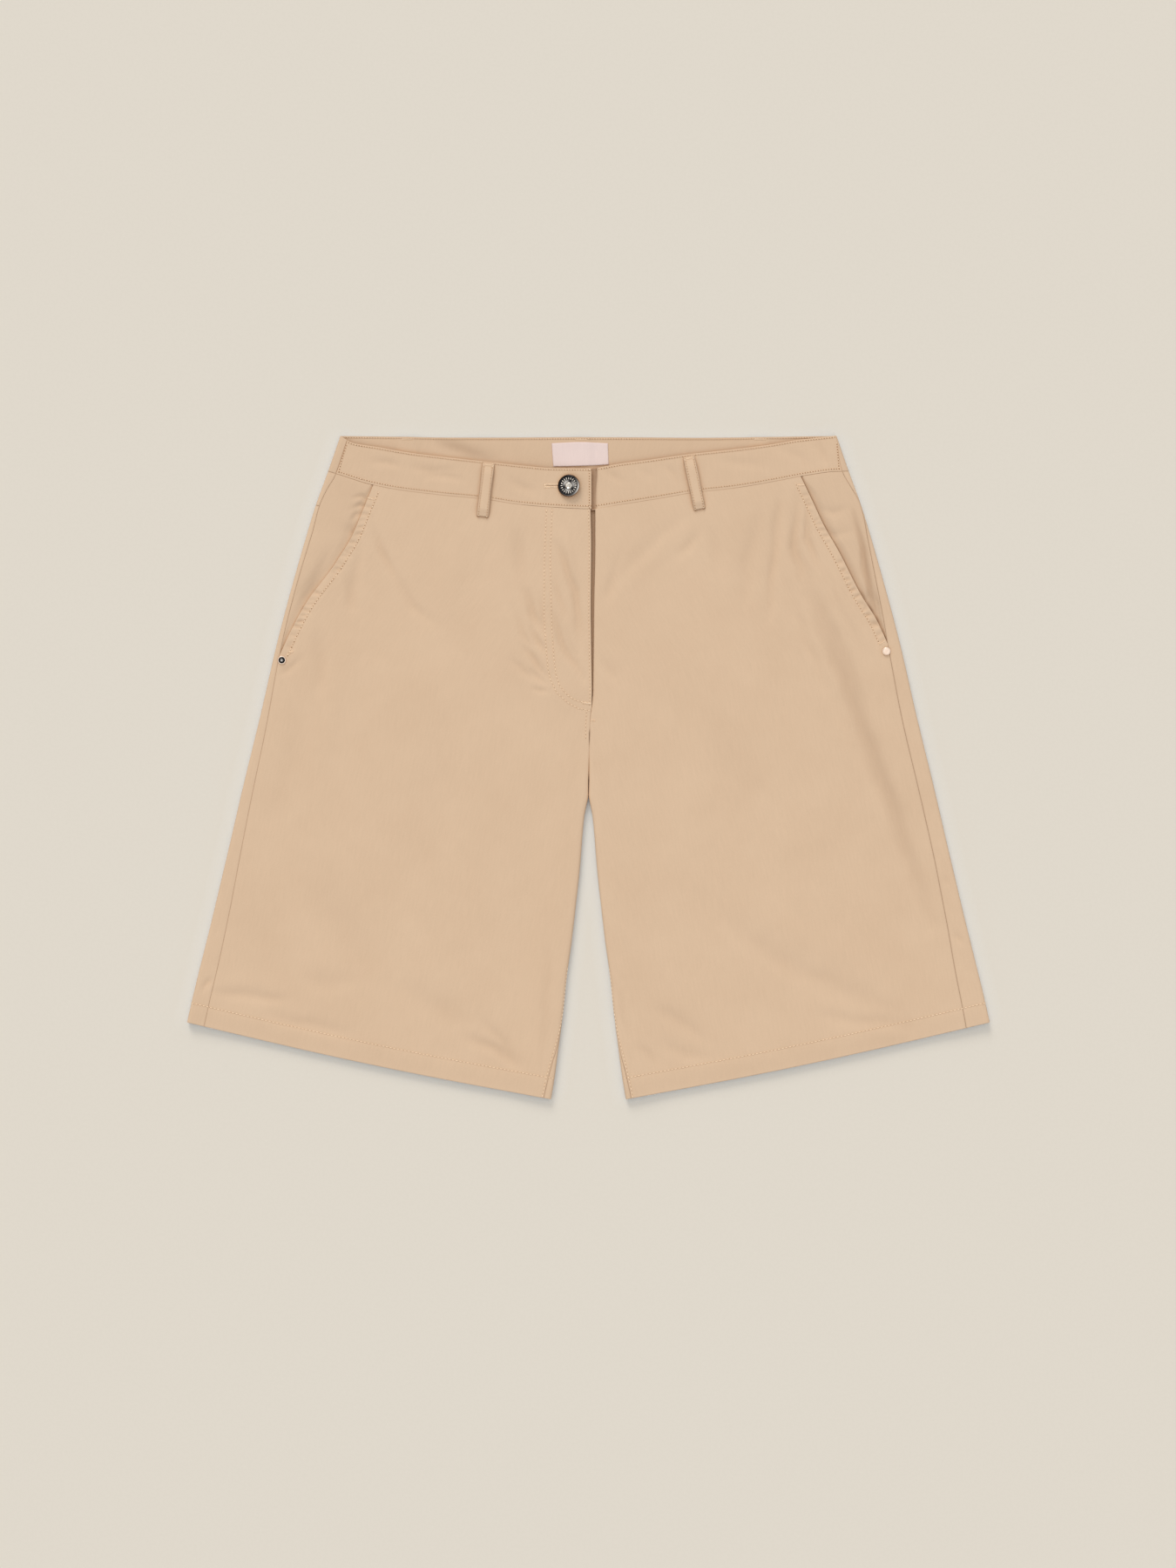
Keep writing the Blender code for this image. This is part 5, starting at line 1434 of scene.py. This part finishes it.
face = spun("button_shell", shell, seat, BUTTON_TILT, BUTTON_LEAN, steps=96)
# Painted highlights and reflections on the button's face, mixed into its colour toward the glint colour: a bright
# streak on the right of the rim, a fainter one low on the rim, and three bright arcs round the boss.
painted_glint = []
for vert in face.data.vertices:
    off = vert.co / MM - Vector(seat)
    radius, turn = math.hypot(off.x, off.y), math.degrees(math.atan2(off.y, off.x))
    rim = math.exp(-(((radius - 8.6) / 0.9) ** 2)) * math.exp(-(((turn + 14.0) / 38.0) ** 2))
    rim += 0.3 * math.exp(-(((radius - 9.1) / 0.4) ** 2)) * math.exp(-(((turn + 70.0) / 50.0) ** 2))
    inner = 0.75 * math.exp(-(((radius - 4.2) / 0.9) ** 2)) * (0.5 + 0.5 * math.sin(math.radians(turn * 3.0 + 40.0)))
    painted_glint.append(rim + inner)
face.data.attributes.new("painted_glint", "FLOAT", "POINT").data.foreach_set("value", painted_glint)
fixed(face, GUNMETAL, "button")
fixed(spun("button_collar", collar, seat, BUTTON_TILT, BUTTON_LEAN), BRONZE)
boss = ((0.0, 2.9), (0.8, 2.7), (1.1, 2.2), (1.7, 2.35), (2.5, 2.7), (3.1, 2.4), (3.5, 1.9), (3.6, 1.4), (0.0, 1.4))
fixed(spun("button_boss", boss, seat, BUTTON_TILT, BUTTON_LEAN, steps=7), BRIGHT)
print("button: face", len(face.data.polygons), "faces, seated", round(pivot, 2), "mm up")

# %% [markdown]
# The ring of beads is a row of like things on a circle, which is what Geometry Nodes are for.  A circle
# is cut into points, each point gets one low bead, and the beads are made real and given their metal.

# %% The ring of beads
def bead_tree():
    tree = bpy.data.node_groups.new("ring of beads", "GeometryNodeTree")
    face = tree.interface
    for word, value in (("Radius", 0.0062), ("Bead", 0.0005)):
        face.new_socket(word, in_out="INPUT", socket_type="NodeSocketFloat").default_value = value
    face.new_socket("Count", in_out="INPUT", socket_type="NodeSocketInt").default_value = 24
    face.new_socket("Metal", in_out="INPUT", socket_type="NodeSocketMaterial")
    face.new_socket("Beads", in_out="OUTPUT", socket_type="NodeSocketGeometry")
    given = node(tree, "NodeGroupInput").outputs
    ring = node(
        tree, "GeometryNodeMeshCircle", [], [("Vertices", given["Count"]), ("Radius", given["Radius"])]
    )
    bead = node(
        tree, "GeometryNodeMeshUVSphere", [("Segments", 10), ("Rings", 6)], [("Radius", given["Bead"])]
    )
    place = node(tree, "GeometryNodeInputPosition")
    turn = node(tree, "FunctionNodeAlignRotationToVector", [("axis", "X")], [("Vector", place.outputs[0])])
    long = node(tree, "ShaderNodeCombineXYZ", [("X", 1.9), ("Y", 0.8), ("Z", 0.7)])
    laid = node(
        tree, "GeometryNodeInstanceOnPoints", [],
        [("Points", ring.outputs[0]), ("Instance", bead.outputs["Mesh"]), ("Rotation", turn.outputs[0]),
         ("Scale", long.outputs[0])],
    )
    real = node(tree, "GeometryNodeRealizeInstances", [], [("Geometry", laid.outputs[0])])
    plated = node(tree, "GeometryNodeSetMaterial", [], [("Geometry", real.outputs[0]), ("Material", given["Metal"])])
    node(tree, "NodeGroupOutput", [], [("Beads", plated.outputs[0])])
    return tree


def grown(obj, tree, values):
    """Sets a tree's inputs by their identifiers, then turns the result into the object's plain mesh."""
    grow = obj.modifiers.new("grow", "NODES")
    grow.node_group = tree
    for item in tree.interface.items_tree:
        if item.in_out == "INPUT" and item.name in values:
            grow[item.identifier] = values[item.name]
    whole = bpy.data.meshes.new_from_object(obj.evaluated_get(bpy.context.evaluated_depsgraph_get()))
    obj.modifiers.remove(grow)
    obj.data = whole
    whole.shade_smooth()
    return obj


beads = bpy.data.objects.new("button_beads", bpy.data.meshes.new("button_beads"))
bpy.context.scene.collection.objects.link(beads)
grown(beads, bead_tree(), {"Radius": 6.3 * MM, "Bead": 0.62 * MM, "Count": 20, "Metal": BRIGHT})
tip = Matrix.Rotation(BUTTON_TILT, 4, "Y") @ Matrix.Rotation(BUTTON_LEAN, 4, "X")
beads.data.transform(Matrix.Translation(Vector(seat) * MM) @ tip @ Matrix.Translation((0, 0, 2.15 * MM)))
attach(beads, "root")
print("beads:", len(beads.data.polygons), "faces")

# %% The rivets
dome = ((0.0, 2.15), (0.8, 2.1), (1.6, 1.9), (2.3, 1.5), (2.75, 1.0), (2.9, 0.6), (2.9, 0.2), (0.0, 0.2))
disc = (
    (0.0, 1.45), (0.5, 1.5), (0.9, 1.36), (1.5, 1.4), (2.6, 1.5), (2.95, 1.35), (3.1, 0.95), (3.1, 0.2), (0.0, 0.2),
)
rim = ((2.7, 0.6), (3.2, 0.55), (3.5, 0.42), (3.6, 0.22), (3.5, 0.0), (2.7, 0.0), (2.7, 0.6))
# The two real rivets are alike and read dark and pale only from what each reflects, so the right one's head is
# finished in dark black nickel and the left one's in pale gilt: lit and shaded copies, painted reflections.
for name, x, y, head, metal_of, slot in (
    ("rivet_right", -267.4, 93.6, dome, GUNMETAL, "gunmetal"),
    ("rivet_left", 259.8, 101.4, disc, GILT, "gilt"),
):
    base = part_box(name)[0][2] / MM
    crown = fixed(spun(f"{name}_head", head, (x, y, base), steps=40), metal_of, name)
    # A painted highlight: a small bright spot near the top of the dark dome.
    if metal_of is GUNMETAL:
        worn = [
            math.exp(-((math.hypot(q.co.x / MM - x, q.co.y / MM - y + 0.2) / 0.75) ** 2))
            for q in crown.data.vertices
        ]
        crown.data.attributes.new("painted_glint", "FLOAT", "POINT").data.foreach_set("value", worn)
    fixed(spun(f"{name}_collar", rim, (x, y, base), steps=40), GILT)
    print(f"{name}: seated {base:.2f} mm up")

# %% [markdown]
# ## Stitching
#
# A lockstitch shows as short raised dashes with a needle hole between each two, which reads dark.  Geometry
# Nodes lays them: a line of edges on the cloth becomes a curve, is cut into equal steps, and each step gets
# one small plump dash turned along the line, or across it for the close stitches of a bar tack, and half a
# step further on a small dark bead, painted shade for the needle hole.

# %% The stitch tree
def stitch_tree():
    tree = bpy.data.node_groups.new("row of stitches", "GeometryNodeTree")
    face = tree.interface
    face.new_socket("Line", in_out="INPUT", socket_type="NodeSocketGeometry")
    for word, value in (("Pitch", 0.0024), ("Length", 0.0019), ("Thickness", 0.0005), ("Hole", 0.0007)):
        face.new_socket(word, in_out="INPUT", socket_type="NodeSocketFloat").default_value = value
    face.new_socket("Across", in_out="INPUT", socket_type="NodeSocketBool")
    for word in ("Thread", "Shade"):
        face.new_socket(word, in_out="INPUT", socket_type="NodeSocketMaterial")
    face.new_socket("Stitches", in_out="OUTPUT", socket_type="NodeSocketGeometry")
    given = node(tree, "NodeGroupInput").outputs
    line = node(tree, "GeometryNodeMeshToCurve", [], [("Mesh", given["Line"])])
    cut = node(
        tree, "GeometryNodeResampleCurve", [("mode", "LENGTH")],
        [("Curve", line.outputs[0]), ("Length", given["Pitch"])],
    )
    tangent = node(tree, "GeometryNodeInputTangent").outputs[0]
    sideways = node(
        tree, "ShaderNodeVectorMath", [("operation", "CROSS_PRODUCT"), (1, (0.0, 0.0, 1.0))], [(0, tangent)]
    )
    way = node(
        tree, "GeometryNodeSwitch", [("input_type", "VECTOR")],
        [("Switch", given["Across"]), ("False", tangent), ("True", sideways.outputs[0])],
    )
    half = node(tree, "ShaderNodeMath", [("operation", "MULTIPLY"), (1, 0.5)], [(0, given["Pitch"])])
    ahead = node(tree, "ShaderNodeCombineXYZ", [], [("Z", half.outputs[0])])
    vary = node(
        tree, "FunctionNodeRandomValue",
        [("data_type", "FLOAT_VECTOR"), (0, (0.85, 0.85, 0.88)), (1, (1.12, 1.12, 1.08)), ("Seed", 7)],
    )
    turn = node(tree, "FunctionNodeAlignRotationToVector", [("axis", "Z")], [("Vector", way.outputs[0])])
    parts = []
    # Each step gets a dash of thread and, half a step on, a small dark bead of painted shade for the needle hole.
    for sizes, finish_of, shift in (
        (("Thickness", "Thickness", "Length"), "Thread", None), (("Hole", "Hole", "Hole"), "Shade", ahead.outputs[0]),
    ):
        ball = node(tree, "GeometryNodeMeshUVSphere", [("Segments", 6), ("Rings", 4), ("Radius", 0.5)])
        size = node(
            tree, "ShaderNodeCombineXYZ", [], [(axis, given[word]) for axis, word in zip("XYZ", sizes)]
        )
        links = [("Geometry", ball.outputs["Mesh"]), ("Scale", size.outputs[0])]
        shaped = node(tree, "GeometryNodeTransform", [], links + ([("Translation", shift)] if shift else []))
        laid = node(
            tree, "GeometryNodeInstanceOnPoints", [],
            [("Points", cut.outputs[0]), ("Instance", shaped.outputs[0]), ("Rotation", turn.outputs[0]),
             ("Scale", vary.outputs[0])],
        )
        real = node(tree, "GeometryNodeRealizeInstances", [], [("Geometry", laid.outputs[0])])
        parts.append(node(
            tree, "GeometryNodeSetMaterial", [], [("Geometry", real.outputs[0]), ("Material", given[finish_of])]
        ))
    both = node(tree, "GeometryNodeJoinGeometry")
    for part in reversed(parts):
        tree.links.new(part.outputs[0], both.inputs[0])
    node(tree, "NodeGroupOutput", [], [("Stitches", both.outputs[0])])
    return tree


STITCH_TREE = stitch_tree()


def stitched(name, lines, pitch, length, thickness, hole=0.75, across=False):
    """Sews along lines of points, in millimetres, and returns the stitches as one plain mesh."""
    mesh = bpy.data.meshes.new(f"{name} lines")
    verts, edges = [], []
    for line in lines:
        base = len(verts)
        verts += [tuple(c * MM for c in point) for point in line]
        edges += [(base + n, base + n + 1) for n in range(len(line) - 1)]
    mesh.from_pydata(verts, edges, [])
    obj = bpy.data.objects.new(name, mesh)
    bpy.context.scene.collection.objects.link(obj)
    grown(obj, STITCH_TREE, {
        "Pitch": pitch * MM, "Length": length * MM, "Thickness": thickness * MM, "Hole": hole * MM,
        "Across": across, "Thread": THREAD, "Shade": HOLE_SHADE,
    })
    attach(obj, "root")
    print(f"{name}: {len(lines)} lines, {len(obj.data.polygons)} faces")
    return obj


# %% Rows on the cloth
SINK = 0.08  # how far a row's middle stands over the skin


def cast(marks, tree=TOP, lift=SINK, gap=1.6, below=False):
    """A row along marks on the plan, dropped onto the finished cloth."""
    marks = np.array(marks, float)
    s = np.concatenate([[0], np.cumsum(np.linalg.norm(np.diff(marks, axis=0), axis=1))])
    at = np.linspace(0, s[-1], max(3, int(s[-1] / gap)))
    row = []
    for x, y in zip(np.interp(at, s, marks[:, 0]), np.interp(at, s, marks[:, 1])):
        z = height(tree, x, y, below)
        if z is not None:
            row.append((x, y, z + (-lift if below else lift)))
    return row


rows = [cast(line) for side in WORDS for line in (HEM_ROWS[side], INSEAM_ROWS[side])]
rows += [cast(row, RIGHT_TOP) for row in J_ROWS]
stitched("leg_topstitching", rows, 3.25, 2.15, 0.78, hole=0.4)
rows = [cast(row, RIGHT_TOP) for row in (FLY_ROW_LINE, CENTRE_ROW)]
stitched("fly_topstitching", rows, 3.05, 1.9, 0.6, hole=0.44)
rows = [cast(POCKET_ROWS[side]) for side in WORDS]
stitched("pocket_topstitching", rows, 2.7, 1.8, 0.76, hole=0.68)
rows = [cast(line, tree_of([bands[side]])) for side in WORDS for line in [*BAND_ROWS[side], SIDE_ROWS[side]]]
rows += [cast(OVERLAP_ROW, RIGHT_TOP)]
rows += [line for name in FRONT_LOOPS for line in loop_lines[name][:2]]
stitched("band_topstitching", rows, 2.3, 1.3, 0.7, hole=0.84)
rows = [[(x, y, z + BAND_WALL + 2 * SINK) for x, y, z in cast(line, INSIDE)] for line in BACK_EDGE_ROWS]
stitched("inside_topstitching", rows, 2.3, 1.3, 0.7, hole=0.6)

rows = [cast(HEM_ROWS[side], below=True) for side in WORDS]
rows += [cast(line, below=True) for side in WORDS for line in YOKE_ROWS[side] + CENTRE_BACK_ROWS[side]]
rows += [cast(line, below=True) for line in BACK_EDGE_ROWS]
rows += [line for name in BACK_LOOPS for line in loop_lines[name]]
stitched("back_topstitching", rows, 2.4, 1.85, 0.62, hole=0.4)

# %% [markdown]
# ## Bar tacks and buttonhole
#
# Where a seam is pulled hard, the machine sews a few close stitches across it: at both ends of the pocket
# mouth, at the foot of the fly, at the ends of the loops and on the back band over its loops.  The
# buttonhole is edged the same way all round its slit, with a bar at the far end.

# %% The tacks
TACKS = (
    ((-192.4, 235.0), (-186.0, 233.6)), ((182.0, 246.2), (188.0, 246.4)), ((-5.0, 56.3), (2.0, 55.6)),
    ((2.6, 41.2), (5.8, 41.0)), ((-263.0, 98.2), (-257.6, 101.4)), ((253.6, 107.0), (258.4, 110.2)),
)
tacks = [cast(mark, TOP, 0.12, 0.7) for mark in TACKS]
tacks += [line for name in FRONT_LOOPS for line in loop_lines[name][2:]]
for centre in BACK_LOOPS.values():
    edge = min((point for line in BACK_EDGE_ROWS for point in line), key=lambda point: abs(point[0] - centre))[1]
    line = cast(((centre - 4.8, edge - 0.6), (centre + 4.8, edge - 0.6)), INSIDE, 0.1, 0.8)
    tacks.append([(x, y, z + BAND_WALL) for x, y, z in line])
stitched("bar_tacks", tacks, 0.7, 1.7, 0.66, hole=0.3, across=True)
lips = [[(x, HOLE_Y + o) for x in np.linspace(HOLE_ENDS[0] - 0.3, -21.0, 20)] for o in (-1.15, 1.15)]
lips += [[(HOLE_ENDS[0] - 0.6, HOLE_Y - 1.7), (HOLE_ENDS[0] - 0.6, HOLE_Y + 1.7)]]
stitched("buttonhole_edging", [cast(lip, RIGHT_TOP, 0.1, 0.6) for lip in lips], 0.6, 1.5, 0.6, hole=0.3, across=True)
